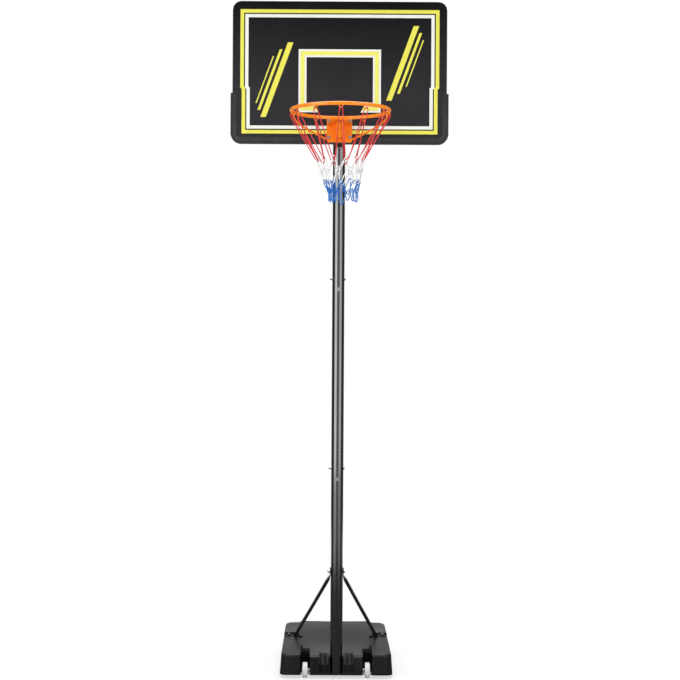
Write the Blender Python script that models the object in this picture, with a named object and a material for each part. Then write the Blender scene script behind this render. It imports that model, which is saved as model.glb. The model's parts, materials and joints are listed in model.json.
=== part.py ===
# Portable basketball stand: water-filled base with two wheels, three-piece pole with struts,
# backboard that slides on the pole in two U-bolt clamps, braced ring and three-colour net.
# Metres, +Z up. The origin is the centre of the base's underside; the ring side faces -Y.

import math

import bmesh
import bpy
from mathutils import Matrix, Vector
from mathutils.geometry import interpolate_bezier

# clearances
touch_gap = 0.0003          # between faces that rest on each other
clamp_gap = 0.0006          # between a clamp and the pole that it slides on
wheel_gap = 0.0005          # from the wheel to the floor and to the base

# base tank
base_length = 0.730
base_front_width = 0.575
base_rear_width = 0.557
base_corner = 0.045
tail_length = 0.040         # the middle of the base runs this far behind its side pads
tail_width = 0.400
tail_hollow = 0.013         # depth of the shallow curve in the rear edge
rear_height = 0.150
front_height = 0.122
pad_height_at_slot = 0.138
side_draft = 0.008          # each side leans in by this much from the bottom to the top
top_rounding = 0.010
bottom_rounding = 0.007
toe_length = 0.110          # the underside rises to the front, so that the stand tilts on its wheels
toe_rise = 0.018
deck_low = 0.116            # height of the sunk deck at the front
deck_flat_end = -0.165      # where the deck starts to rise
deck_rise_length = 0.435
deck_width = 0.394
deck_narrow_width = 0.344
deck_front_rounding = 0.018

# strut slots in the side pads
slot_front = -0.012
slot_width = 0.060
slot_inner = 0.178
slot_floor = 0.124

# wheels and axle
wheel_radius = 0.0385
wheel_width = 0.025
wheel_spacing = 0.316       # between the middles of the two wheels
hub_radius = 0.0085
axle_radius = 0.005
well_width = 0.048
well_mouth_rounding = 0.010
well_depth = 0.170          # from the front face to the well's rear wall
well_lean_start = 0.095     # above this height the rear wall leans back
well_lean = 0.35
cap_length = 0.0074

# ribbed pockets beside the pole
pocket_inner = 0.039
pocket_outer = 0.087
pocket_depth = 0.019
pocket_floor = 0.034
pocket_lean_start = 0.068
pocket_lean = 1.10
rib_radius = 0.0048
rib_bottom = 0.040
pocket_rib_top = 0.114
pocket_ribs = ((0.0760, 0.0765), (0.0580, 0.0645), (0.0550, 0.0475))   # X at the top and below
well_rib_top = 0.108
well_rib_offset = 0.009

# pole
pole_radius = 0.0312
pole_wall = 0.002
pole_setback = 0.030        # pole axis behind the base's front face
pole_shelf = 0.028          # the pole stands on this shelf of the base
notch_side_gap = 0.0015
joint_heights = (1.085, 2.045)
pole_top = 3.040
spigot_length = 0.120
side_bolt_drop = 0.0214     # below the joint
front_bolt_drop = 0.075
pole_cap_height = 0.010

# fasteners
bolt_radius = 0.004
bolt_gap = 0.0003
head_radius = 0.0075
head_height = 0.0055
nut_height = 0.0065

# struts
strut_radius = 0.0095
strut_flat_thickness = 0.005
strut_top = 0.559
strut_bolt_height = 0.539
strut_bend = 0.515
strut_flat_length = 0.036   # flattened for this far from the top, then round again over the blend
strut_flat_blend = 0.040
strut_flat_widening = 0.45
foot_start = 0.218
foot_end = 0.273
foot_screw_x = 0.248
foot_from_slot_front = 0.033
foot_screw_length = 0.040

# filler
filler_y = 0.200
filler_recess_radius = 0.033
filler_recess_floor = 0.141
filler_bore_radius = 0.020
filler_bore_floor = 0.118
filler_cap_radius = 0.028
filler_cap_height = 0.007
filler_grip_height = 0.012
filler_plug_gap = 0.0005

# backboard
board_width = 1.075
board_bottom = 2.7065
board_height = 0.7045
board_thickness = 0.030
board_corner = 0.043
board_front_reach = 0.090   # front face of the board before the pole axis
skin_thickness = 0.004
board_wall = 0.006
rib_thickness = 0.004
pocket_columns = 6
pocket_rows = 4
block_width = 0.184         # solid middle part that carries the bracket and the channel
block_height = 0.340

# edge pad
pad_thickness = 0.0093
pad_lip_thickness = 0.003
pad_lip_reach = 0.025
pad_top = 2.950

# channel behind the board
channel_bottom = 2.714
channel_top = 3.030
channel_half_web = 0.0461
channel_half_width = 0.079
channel_wall = 0.003
channel_bend = 0.001
clamp_heights = (2.775, 2.965)
clamp_rod_radius = 0.004
channel_screw_x = 0.0635
channel_screw_height = 2.995
channel_screw_length = 0.022

# rim
ring_inner_radius = 0.225
ring_rod_radius = 0.0085
ring_height = 2.808
ring_reach = 0.370          # ring centre before the front face of the board
ring_sides = 8
hook_count = 12
hook_wire_radius = 0.0018
hook_half_width = 0.014    # of the V at the ring
hook_drop = 0.021
bracket_half_width = 0.0635
bracket_bottom = 2.704
bracket_top = 2.833
bracket_thickness = 0.004
rim_bolt_x = 0.054
rim_bolt_heights = (2.730, 2.815)
arm_half_width_board = 0.060
arm_half_width_ring = 0.045
arm_sheet = 0.003
arm_slot_half_width = 0.011
arm_flange_height = 0.014
arm_tongue = 0.025          # the arm runs straight for this far before the ring
rim_channel_half_width = 0.016
rim_channel_front_depth = 0.012
rim_channel_low_reach = 0.026   # lower front corner of the channel, before the plate
rim_channel_low_rise = 0.021    # and above the plate's lower edge
rim_lip_half_width = 0.024
rim_lip_reach = 0.010
brace_radius = 0.005
brace_angle = 75.0          # on the ring, measured from the bracket

# net
cord_radius = 0.002
net_heights = (2.573, 2.522, 2.468, 2.424, 2.384)
net_radii = (0.113, 0.104, 0.094, 0.083, 0.078)
net_names = ("net_red", "net_white_upper", "net_white_lower", "net_blue_upper", "net_blue_lower")
loop_half_width = 0.007
loop_half_height = 0.008
cord_gap = 0.0008           # between the legs of two linked loops where they cross

# places that follow from the sizes above
base_front = -base_length / 2
base_rear = base_length / 2
pole_y = base_front + pole_setback
wheel_height = wheel_radius + wheel_gap
board_front = pole_y - board_front_reach
board_rear = board_front + board_thickness
board_top = board_bottom + board_height
plate_rear = board_front - touch_gap
plate_front = plate_rear - bracket_thickness
web_rear = pole_y - pole_radius - touch_gap
web_front = web_rear - channel_wall
flange_front = board_rear + touch_gap
flange_rear = flange_front + channel_wall
ring_y = board_front - ring_reach
ring_radius = ring_inner_radius + ring_rod_radius
ring_underside = ring_height - ring_rod_radius * math.cos(math.pi / ring_sides)
arm_top = ring_underside - touch_gap
arm_front = ring_y + ring_radius - ring_rod_radius
spigot_radius = pole_radius - pole_wall - touch_gap
hole_radius = bolt_radius + bolt_gap


def clear_scene():
    for item in list(bpy.data.objects):
        bpy.data.objects.remove(item)


def make_material(name, colour, roughness, metallic):
    material = bpy.data.materials.new(name)
    material.use_nodes = True
    shader = material.node_tree.nodes["Principled BSDF"]
    shader.inputs["Base Color"].default_value = (*colour, 1.0)
    shader.inputs["Roughness"].default_value = roughness
    shader.inputs["Metallic"].default_value = metallic
    return material


def make_materials():
    return {
        "tank": make_material("moulded_tank", (0.045, 0.045, 0.048), 0.50, 0.0),
        "pole": make_material("black_enamel", (0.012, 0.012, 0.013), 0.25, 0.3),
        "steel": make_material("zinc_steel", (0.62, 0.62, 0.64), 0.35, 1.0),
        "board": make_material("board_plastic", (0.035, 0.035, 0.042), 0.35, 0.0),
        "pad": make_material("pad_rubber", (0.030, 0.030, 0.034), 0.65, 0.0),
        "rim": make_material("orange_enamel", (0.85, 0.16, 0.01), 0.35, 0.2),
        "wheel": make_material("wheel_plastic", (0.80, 0.80, 0.80), 0.40, 0.0),
        "cap": make_material("cap_plastic", (0.020, 0.020, 0.021), 0.55, 0.0),
        "red": make_material("cord_red", (0.60, 0.03, 0.03), 0.80, 0.0),
        "white": make_material("cord_white", (0.80, 0.80, 0.80), 0.80, 0.0),
        "blue": make_material("cord_blue", (0.03, 0.15, 0.55), 0.80, 0.0),
    }


def rounded_outline(corners, steps=4):
    """Points of a polygon whose corners are (x, y, radius), anticlockwise."""
    points = []
    for index, (x, y, radius) in enumerate(corners):
        here = Vector((x, y))
        if radius <= 0:
            points.append(here)
            continue
        before = Vector(corners[index - 1][:2])
        after = Vector(corners[(index + 1) % len(corners)][:2])
        to_before = (before - here).normalized()
        to_after = (after - here).normalized()
        half = to_before.angle(to_after) / 2
        centre = here + (to_before + to_after).normalized() * radius / math.sin(half)
        start = here + to_before * radius / math.tan(half) - centre
        turn = start.angle_signed(here + to_after * radius / math.tan(half) - centre)
        for step in range(steps + 1):
            point = start.copy()
            point.rotate(Matrix.Rotation(-turn * step / steps, 2))
            points.append(centre + point)
    return points


def both_sides(right_half):
    """Closes a right half outline, given from front to rear, with its mirror image."""
    left_half = [(-x, y, radius) for x, y, radius in reversed(right_half) if x > 0]
    return list(right_half) + left_half


def rectangle(low_x, high_x, low_y, high_y, radius):
    return [
        (low_x, low_y, radius),
        (high_x, low_y, radius),
        (high_x, high_y, radius),
        (low_x, high_y, radius),
    ]


def prism(outline, low, high, axis="Z"):
    """Solid of an outline pushed along one axis; the outline holds the other two in order."""
    place = {
        "X": lambda point: (low, point[0], point[1]),
        "Y": lambda point: (point[0], low, point[1]),
        "Z": lambda point: (point[0], point[1], low),
    }[axis]
    bm = bmesh.new()
    face = bm.faces.new([bm.verts.new(place(point)) for point in outline])
    made = bmesh.ops.extrude_face_region(bm, geom=[face])
    moved = [item for item in made["geom"] if isinstance(item, bmesh.types.BMVert)]
    shift = Vector((axis == "X", axis == "Y", axis == "Z")) * (high - low)
    bmesh.ops.translate(bm, vec=shift, verts=moved)
    bmesh.ops.recalc_face_normals(bm, faces=bm.faces)
    return bm


def box(low_corner, high_corner):
    (x0, y0, z0), (x1, y1, z1) = low_corner, high_corner
    return prism([(x0, y0), (x1, y0), (x1, y1), (x0, y1)], z0, z1)


axis_turns = {
    "X": Matrix.Rotation(math.radians(90), 4, "Y"),
    "Y": Matrix.Rotation(math.radians(-90), 4, "X"),
    "Z": Matrix.Identity(4),
}


def turned(profile, segments, axis="Z", centre=(0, 0, 0), closed=False):
    """Revolves (radius, distance along the axis) points round the axis."""
    bm = bmesh.new()
    verts = [bm.verts.new((radius, 0, along)) for radius, along in profile]
    edges = [bm.edges.new(pair) for pair in zip(verts, verts[1:])]
    if closed:
        edges.append(bm.edges.new((verts[-1], verts[0])))
    bmesh.ops.spin(bm, geom=verts + edges, cent=(0, 0, 0), axis=(0, 0, 1), angle=math.tau,
                   steps=segments, use_merge=True)
    bmesh.ops.remove_doubles(bm, verts=bm.verts, dist=1e-6)
    bmesh.ops.recalc_face_normals(bm, faces=bm.faces)
    bmesh.ops.transform(bm, matrix=Matrix.Translation(centre) @ axis_turns[axis], verts=bm.verts)
    return bm


def rod(radius, low, high, axis="Z", centre=(0, 0, 0), segments=16):
    return turned([(0, low), (radius, low), (radius, high), (0, high)], segments, axis, centre)


def tube(points, radius, resolution=1, closed=False, scales=None):
    """Round bar along a line of points."""
    curve = bpy.data.curves.new("path", "CURVE")
    curve.dimensions = "3D"
    curve.bevel_depth = radius
    curve.bevel_resolution = resolution
    curve.use_fill_caps = True
    spline = curve.splines.new("POLY")
    spline.points.add(len(points) - 1)
    spline.use_cyclic_u = closed
    for index, point in enumerate(points):
        spline.points[index].co = (*point, 1.0)
        spline.points[index].radius = scales[index] if scales else 1.0
    carrier = bpy.data.objects.new("path", curve)
    mesh = bpy.data.meshes.new_from_object(carrier)
    bpy.data.objects.remove(carrier)
    bm = bmesh.new()
    bm.from_mesh(mesh)
    bmesh.ops.remove_doubles(bm, verts=bm.verts, dist=1e-6)
    bmesh.ops.recalc_face_normals(bm, faces=bm.faces)
    return bm


def joined(parts):
    """One mesh of several separate solids, used as a cutter or as pieces to add."""
    whole = bmesh.new()
    for part in parts:
        mesh = bpy.data.meshes.new("part")
        part.to_mesh(mesh)
        part.free()
        whole.from_mesh(mesh)
        bpy.data.meshes.remove(mesh)
    return whole


def mirrored(part):
    """The part and its mirror image across the middle plane."""
    other = part.copy()
    bmesh.ops.scale(other, vec=(-1, 1, 1), verts=other.verts)
    bmesh.ops.reverse_faces(other, faces=other.faces)
    return joined([part, other])


def add_object(name, bm, material=None, origin=(0, 0, 0), parent=None):
    bmesh.ops.translate(bm, vec=-Vector(origin), verts=bm.verts)
    mesh = bpy.data.meshes.new(name)
    bm.to_mesh(mesh)
    bm.free()
    mesh.shade_smooth()
    mesh.set_sharp_from_angle(angle=math.radians(35))
    made = bpy.data.objects.new(name, mesh)
    made.location = origin
    bpy.context.scene.collection.objects.link(made)
    if material:
        mesh.materials.append(material)
    if parent:
        made.parent = parent
        made.matrix_parent_inverse = Matrix.Translation(parent.location).inverted()
    return made


def combine(target, name, bm, operation):
    """Adds or cuts a helper shape with a Boolean modifier; the helper stays as a wire guide."""
    helper = add_object(name, bm)
    helper.hide_render = True
    helper.display_type = "WIRE"
    modifier = target.modifiers.new(name, "BOOLEAN")
    modifier.operation = operation
    modifier.solver = "EXACT"
    modifier.object = helper


def cut(target, name, bm):
    combine(target, name, bm, "DIFFERENCE")


def weld(target, name, bm):
    combine(target, name, bm, "UNION")


def rounded_path(corners, reaches, steps=4):
    """A line through corner points, each inner corner eased over its reach."""
    points = [Vector(corners[0])]
    for index in range(1, len(corners) - 1):
        here = Vector(corners[index])
        start = here + (Vector(corners[index - 1]) - here).normalized() * reaches[index - 1]
        end = here + (Vector(corners[index + 1]) - here).normalized() * reaches[index - 1]
        for step in range(steps + 1):
            share = step / steps
            points.append(start.lerp(here, share).lerp(here.lerp(end, share), share))
    points.append(Vector(corners[-1]))
    return points


def ramp(value, low, high):
    """0 below low, 1 above high, smooth between."""
    share = min(max((value - low) / (high - low), 0.0), 1.0)
    return share * share * (3 - 2 * share)


# base tank

def pad_height(y):
    """Top of the side pads: a gentle rise to the slot, a step hidden in it, then level."""
    if y <= slot_front:
        share = (y - base_front) / (slot_front - base_front)
        return front_height + (pad_height_at_slot - front_height) * share
    share = min((y - slot_front) / slot_width, 1.0)
    return pad_height_at_slot + (rear_height - pad_height_at_slot) * share


def deck_height(y):
    """Top of the sunk middle deck, a ramp that meets the rear of the tank and rolls over in front."""
    rise = (rear_height - deck_low) * ramp(y, deck_flat_end, deck_flat_end + deck_rise_length)
    share = min(max((base_front + deck_front_rounding - y) / deck_front_rounding, 0.0), 0.95)
    return deck_low + rise - deck_front_rounding * (1 - math.sqrt(1 - share * share))


def toe_height(y):
    """Underside of the base, which rises towards the front."""
    return toe_rise * max(base_front + toe_length - y, 0.0) / toe_length


def shaped_block(outline, creases, underside, top, bevels, narrowing=1.0):
    """A block whose top and underside follow heights along Y; bevels rounds (top, bottom) edges."""
    bm = prism(outline, 0.0, 1.0)
    for y in creases:
        every = bm.verts[:] + bm.edges[:] + bm.faces[:]
        bmesh.ops.bisect_plane(bm, geom=every, plane_co=(0, y, 0), plane_no=(0, 1, 0), dist=1e-6)
    highest = [vert for vert in bm.verts if vert.co.z > 0.5]
    lowest = [vert for vert in bm.verts if vert.co.z <= 0.5]
    for vert in highest:
        vert.co.x *= narrowing
        vert.co.z = top(vert.co.y)
    for vert in lowest:
        vert.co.z = underside(vert.co.y)
    bm.normal_update()
    for verts, width in ((set(highest), bevels[0]), (set(lowest), bevels[1])):
        edges = [edge for edge in bm.edges
                 if set(edge.verts) <= verts and edge.calc_face_angle(0.0) > math.radians(45)]
        if width > 0:
            bmesh.ops.bevel(bm, geom=edges, offset=width, segments=2, profile=0.5,
                            affect="EDGES", material=-1, clamp_overlap=False)
    bmesh.ops.recalc_face_normals(bm, faces=bm.faces)
    return bm


def tank_outline():
    half_front = base_front_width / 2
    half_rear = base_rear_width / 2
    half_tail = tail_width / 2
    pads_end = base_rear - tail_length
    right_half = [
        (half_front, base_front, base_corner),
        (half_rear, pads_end, base_corner),
        (half_tail + 0.006, pads_end, 0.015),
        (half_tail, base_rear, 0.022),
        (0.0, base_rear - tail_hollow, 0.9),
    ]
    return rounded_outline(both_sides(right_half), 4)


def deck_cutter():
    half_wide = deck_width / 2
    half_narrow = deck_narrow_width / 2
    mouth = wheel_spacing / 2
    well_rear = base_front + well_depth
    right_half = [
        (mouth, base_front - 0.03, 0.0),
        (mouth, well_rear - 0.01, 0.0),
        (half_narrow, well_rear + 0.01, 0.02),
        (half_wide, slot_front, 0.02),
        (half_wide + 0.003, base_rear + 0.03, 0.0),
    ]
    creases = [base_front + deck_front_rounding * share for share in (0.05, 0.3, 0.6, 1.0)]
    creases += [deck_flat_end + deck_rise_length * step / 7 for step in range(8)]
    return shaped_block(rounded_outline(both_sides(right_half), 3), creases, deck_height,
                        lambda y: 0.30, (0.0, 0.005))


def leaning_pocket(outline, floor, lean_start, lean, moved_from):
    """A cutter open at the top whose rear wall leans back above a height."""
    bm = prism(outline, floor, 0.20)
    every = bm.verts[:] + bm.edges[:] + bm.faces[:]
    bmesh.ops.bisect_plane(bm, geom=every, plane_co=(0, 0, lean_start), plane_no=(0, 0, 1), dist=1e-6)
    for vert in bm.verts:
        if vert.co.y > moved_from and vert.co.z > lean_start:
            vert.co.y += (vert.co.z - lean_start) * lean
    return bm


def flared_outline(low_x, high_x, rear_y, mouth_rounding, rear_rounding):
    """Plan of a recess in the front face with rounded mouth edges."""
    outside = base_front - 0.03
    face = base_front - 0.0005
    flare = mouth_rounding + 0.002
    corners = [
        (low_x - flare, outside, 0.0),
        (high_x + flare, outside, 0.0),
        (high_x + flare, face, 0.0),
        (high_x, face, mouth_rounding),
        (high_x, rear_y, rear_rounding),
        (low_x, rear_y, rear_rounding),
        (low_x, face, mouth_rounding),
        (low_x - flare, face, 0.0),
    ]
    return rounded_outline(corners, 3)


def well_cutter():
    middle = wheel_spacing / 2
    rear = base_front + well_depth
    outline = flared_outline(middle - well_width / 2, middle + well_width / 2, rear,
                             well_mouth_rounding, 0.008)
    return leaning_pocket(outline, -0.02, well_lean_start, well_lean, rear - 0.02)


def pocket_cutter():
    rear = base_front + pocket_depth
    outline = flared_outline(pocket_inner, pocket_outer, rear, 0.004, 0.004)
    return leaning_pocket(outline, pocket_floor, pocket_lean_start, pocket_lean, rear - 0.008)


def wall_rib(top_x, bottom_x, top_z, bottom_z, wall_y, lean_start, lean, radius):
    """A rounded rib that runs up a leaning rear wall and swells to its top."""
    def at(z):
        share = (z - bottom_z) / (top_z - bottom_z)
        y = wall_y + max(z - lean_start, 0.0) * lean
        return (bottom_x + (top_x - bottom_x) * share, y, z)
    heights = [bottom_z, lean_start, top_z - radius, top_z - radius * 0.3, top_z]
    return tube([at(z) for z in heights], radius, 2, scales=[0.7, 0.85, 1.0, 0.85, 0.45])


def notch_cutter():
    reach = pole_radius + notch_side_gap
    points = [(-reach, base_front - 0.03), (reach, base_front - 0.03)]
    for step in range(17):
        angle = math.pi * step / 16
        points.append((reach * math.cos(angle), pole_y + reach * math.sin(angle)))
    return prism(points, pole_shelf, 0.20)


def axle_groove_cutter():
    """Groove open below that the axle snaps into, with a round top."""
    reach = axle_radius + touch_gap
    points = [(pole_y + reach, -0.02)]
    for step in range(9):
        angle = math.pi * step / 8
        points.append((pole_y + reach * math.cos(angle), wheel_height + reach * math.sin(angle)))
    points.append((pole_y - reach, -0.02))
    inner = wheel_spacing / 2
    return prism(points, -inner, inner, "X")


def slot_cutter():
    outline = rounded_outline(rectangle(slot_inner, base_front_width, slot_front,
                                        slot_front + slot_width, 0.010), 3)
    return prism(outline, slot_floor, 0.20)


def underside_groove_cutter():
    """Long shallow stiffening groove of the moulding."""
    bm = prism(rounded_outline(rectangle(0.085, 0.115, -0.17, 0.27, 0.0149), 4), -0.01, 0.012)
    far_edges = [edge for edge in bm.edges if all(vert.co.z > 0.0 for vert in edge.verts)]
    bmesh.ops.bevel(bm, geom=far_edges, offset=0.005, segments=2, profile=0.5,
                    affect="EDGES", material=-1)
    return bm


def make_base_tank(material):
    creases = (base_front + toe_length, slot_front, slot_front + slot_width)
    body = shaped_block(tank_outline(), creases, toe_height, pad_height,
                        (top_rounding, bottom_rounding), 1 - 2 * side_draft / base_front_width)
    tank = add_object("base_tank", body, material)
    cut(tank, "cut_deck", deck_cutter())
    cut(tank, "cut_wells", mirrored(well_cutter()))
    cut(tank, "cut_pockets", mirrored(pocket_cutter()))
    well_wall = base_front + well_depth
    pocket_wall = base_front + pocket_depth
    middle = wheel_spacing / 2
    ribs = []
    for offset in (-well_rib_offset, well_rib_offset):
        ribs.append(wall_rib(middle + offset, middle + offset, well_rib_top, rib_bottom, well_wall,
                             well_lean_start, well_lean, rib_radius))
    weld(tank, "add_well_ribs", mirrored(joined(ribs)))
    for number, (top_x, bottom_x) in enumerate(pocket_ribs):
        # sizes differ a little, so that no two ribs share a face where they meet
        rib = wall_rib(top_x, bottom_x, pocket_rib_top - 0.0011 * number, rib_bottom + 0.0017 * number,
                       pocket_wall, pocket_lean_start, pocket_lean, rib_radius * (1 - 0.05 * number))
        weld(tank, f"add_pocket_rib_{number + 1}", mirrored(rib))
    cut(tank, "cut_notch", notch_cutter())
    cut(tank, "cut_axle_groove", axle_groove_cutter())
    cut(tank, "cut_slots", mirrored(slot_cutter()))
    cut(tank, "cut_underside", mirrored(underside_groove_cutter()))
    screw_hole = rod(hole_radius, slot_floor - foot_screw_length + 2 * strut_radius - 0.002,
                     slot_floor + 0.01, "Z",
                     (foot_screw_x, slot_front + foot_from_slot_front, 0), 12)
    filler_hole = turned([(0, filler_bore_floor), (filler_bore_radius, filler_bore_floor),
                          (filler_bore_radius, filler_recess_floor),
                          (filler_recess_radius, filler_recess_floor),
                          (filler_recess_radius, 0.20), (0, 0.20)], 20, "Z", (0, filler_y, 0))
    cut(tank, "cut_screw_holes", mirrored(screw_hole))
    cut(tank, "cut_filler", filler_hole)


def make_filler_cap(material):
    seat = filler_recess_floor + touch_gap
    plug_end = filler_bore_floor + filler_plug_gap
    plug_radius = filler_bore_radius - filler_plug_gap
    top = seat + filler_cap_height
    head = turned([(0, plug_end), (plug_radius - 0.001, plug_end), (plug_radius, plug_end + 0.001),
                   (plug_radius, seat), (filler_cap_radius, seat), (filler_cap_radius, top - 0.0015),
                   (filler_cap_radius - 0.0015, top), (0, top)], 20)
    cap = add_object("filler_cap", head, material, (0, 0, 0))
    outline = rounded_outline(rectangle(-0.022, 0.022, -0.004, 0.004, 0.003), 2)
    weld(cap, "add_grip", prism(outline, top - 0.002, seat + filler_grip_height))
    cap.location = (0, filler_y, 0)
    helper = bpy.data.objects["add_grip"]
    helper.location = (0, filler_y, 0)


# wheels

def make_wheels(materials):
    inner_face = wheel_spacing / 2 - well_width / 2 + wheel_gap
    tyre_inner = wheel_spacing / 2 - wheel_width / 2
    tyre_outer = wheel_spacing / 2 + wheel_width / 2
    hub_outer = tyre_outer + 0.002
    rim = wheel_radius - 0.010
    web = 0.0045
    middle = wheel_spacing / 2
    bore = axle_radius + touch_gap
    profile = [
        (bore, inner_face), (hub_radius, inner_face), (hub_radius, middle - web),
        (rim, middle - web), (rim, tyre_inner), (wheel_radius - 0.002, tyre_inner),
        (wheel_radius, tyre_inner + 0.003), (wheel_radius, tyre_outer - 0.003),
        (wheel_radius - 0.002, tyre_outer), (rim, tyre_outer), (rim, middle + web),
        (hub_radius, middle + web), (hub_radius, hub_outer), (bore, hub_outer),
    ]
    axle_end = hub_outer + touch_gap + cap_length - 0.0024
    cap_start = hub_outer + touch_gap
    cap_profile = [
        (0, axle_end + touch_gap), (bore, axle_end + touch_gap), (bore, cap_start),
        (0.0095, cap_start), (0.0095, cap_start + 0.003),
        (0.0070, cap_start + cap_length - 0.001), (0.0045, cap_start + cap_length),
        (0, cap_start + cap_length),
    ]
    axis_point = (0, pole_y, wheel_height)
    for side, sign in (("left", -1), ("right", 1)):
        for name, points, closed, segments, material in (
                (f"wheel_{side}", profile, True, 28, materials["wheel"]),
                (f"axle_cap_{side}", cap_profile, False, 12, materials["cap"])):
            shape = turned([(radius, sign * along) for radius, along in points], segments, "X",
                           axis_point, closed)
            add_object(name, shape, material, (sign * middle, pole_y, wheel_height))
    add_object("axle_rod", rod(axle_radius, -axle_end, axle_end, "X", axis_point, 16),
               materials["pole"])


# pole

def pole_profile(low, high, has_spigot):
    inner = pole_radius - pole_wall
    if not has_spigot:
        return [(inner, low), (pole_radius, low), (pole_radius, high), (inner, high)]
    tip = low - spigot_length
    return [
        (spigot_radius - pole_wall, tip), (spigot_radius - 0.001, tip),
        (spigot_radius, tip + 0.002), (spigot_radius, low), (pole_radius, low),
        (pole_radius, high), (inner, high), (inner, low + 0.016),
        (spigot_radius - pole_wall, low + 0.002),
    ]


def joint_hole_cutter(joint):
    reach = pole_radius + 0.01
    side = rod(hole_radius, -reach, reach, "X", (0, pole_y, joint - side_bolt_drop), 12)
    front = rod(hole_radius, -reach, reach, "Y", (0, pole_y, joint - front_bolt_drop), 12)
    return joined([side, front])


def make_poles(materials):
    lows = (pole_shelf + touch_gap,) + joint_heights
    highs = tuple(joint - touch_gap for joint in joint_heights) + (pole_top,)
    poles = []
    for number, name in enumerate(("lower_pole", "middle_pole", "upper_pole")):
        shape = turned(pole_profile(lows[number], highs[number], number > 0), 32, "Z",
                       (0, pole_y, 0), True)
        poles.append(add_object(name, shape, materials["pole"]))
    for number, joint in enumerate(joint_heights):
        cut(poles[number], f"cut_joint_holes_{number + 1}_outer", joint_hole_cutter(joint))
        cut(poles[number + 1], f"cut_joint_holes_{number + 1}_inner", joint_hole_cutter(joint))
    reach = pole_radius + 0.01
    axle_hole = rod(axle_radius + touch_gap, -reach, reach, "X", (0, pole_y, wheel_height), 12)
    strut_hole = rod(hole_radius, -reach, reach, "X", (0, pole_y, strut_bolt_height), 12)
    cut(poles[0], "cut_pole_cross_holes", joined([axle_hole, strut_hole]))
    inner = pole_radius - pole_wall - touch_gap
    seat = pole_top + touch_gap
    cap = turned([(0, pole_top - 0.020), (inner - 0.0015, pole_top - 0.020), (inner, pole_top - 0.017),
                  (inner, seat), (pole_radius + 0.001, seat),
                  (pole_radius + 0.001, seat + pole_cap_height * 0.5),
                  (pole_radius - 0.004, seat + pole_cap_height * 0.9),
                  (0, seat + pole_cap_height)], 24, "Z", (0, pole_y, 0))
    add_object("pole_top_cap", cap, materials["cap"])


# fasteners

def pointing(direction, place):
    """Turns +Z to the direction and moves to the place."""
    turn = Vector(direction).to_track_quat("Z", "Y").to_matrix().to_4x4()
    return Matrix.Translation(place) @ turn


def hexagon(radius, low, high, chamfer=0.001):
    """Hexagonal head or nut body with chamfered outer corners."""
    bm = bmesh.new()
    bmesh.ops.create_cone(bm, cap_ends=True, segments=6, radius1=radius, radius2=radius,
                          depth=high - low)
    bmesh.ops.translate(bm, vec=(0, 0, (low + high) / 2), verts=bm.verts)
    top = [edge for edge in bm.edges if all(vert.co.z > high - 1e-6 for vert in edge.verts)]
    bmesh.ops.bevel(bm, geom=top, offset=chamfer, segments=1, profile=0.5, affect="EDGES",
                    material=-1)
    return bm


def make_bolt(name, seat, direction, length, material, parent=None, washer=0.0095):
    """Hex flange bolt: the washer face lies on the seat, the head points to the direction."""
    stem = turned([(0, -length), (bolt_radius, -length), (bolt_radius, 0), (washer, 0),
                   (washer, 0.0015), (0, 0.0015)], 12)
    place = pointing(direction, seat)
    bmesh.ops.transform(stem, matrix=place, verts=stem.verts)
    bolt = add_object(name, stem, material, parent=parent)
    head = hexagon(head_radius, 0.0007, head_height)
    bmesh.ops.transform(head, matrix=place, verts=head.verts)
    weld(bolt, f"add_{name}_head", head)


def make_nut(name, seat, direction, material, parent=None):
    nut = hexagon(head_radius, 0, nut_height)
    place = pointing(direction, seat)
    bmesh.ops.transform(nut, matrix=place, verts=nut.verts)
    made = add_object(name, nut, material, parent=parent)
    bore = rod(hole_radius, -0.005, nut_height + 0.005, segments=10)
    bmesh.ops.transform(bore, matrix=place, verts=bore.verts)
    cut(made, f"cut_{name}_bore", bore)


def make_joint_fasteners(materials):
    face = pole_radius + touch_gap
    for number, joint in enumerate(joint_heights):
        level = ("lower", "upper")[number]
        for kind, direction, drop in (("side", (1, 0, 0), side_bolt_drop),
                                      ("front", (0, -1, 0), front_bolt_drop)):
            middle = Vector((0, pole_y, joint - drop))
            out = Vector(direction)
            make_bolt(f"joint_bolt_{level}_{kind}", middle + out * face, out,
                      2 * face + nut_height + 0.006, materials["steel"])
            make_nut(f"joint_nut_{level}_{kind}", middle - out * face, -out, materials["steel"])


# struts

def flatten_ring(verts, thin, wide, amount):
    """Squeezes a ring of a tube along one direction and spreads it along another."""
    centre = sum((vert.co for vert in verts), Vector()) / len(verts)
    thin_scale = 1 - amount * (1 - strut_flat_thickness / (2 * strut_radius))
    wide_scale = 1 + amount * strut_flat_widening
    for vert in verts:
        offset = vert.co - centre
        offset -= thin * offset.dot(thin) * (1 - thin_scale)
        offset += wide * offset.dot(wide) * (wide_scale - 1)
        vert.co = centre + offset


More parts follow.
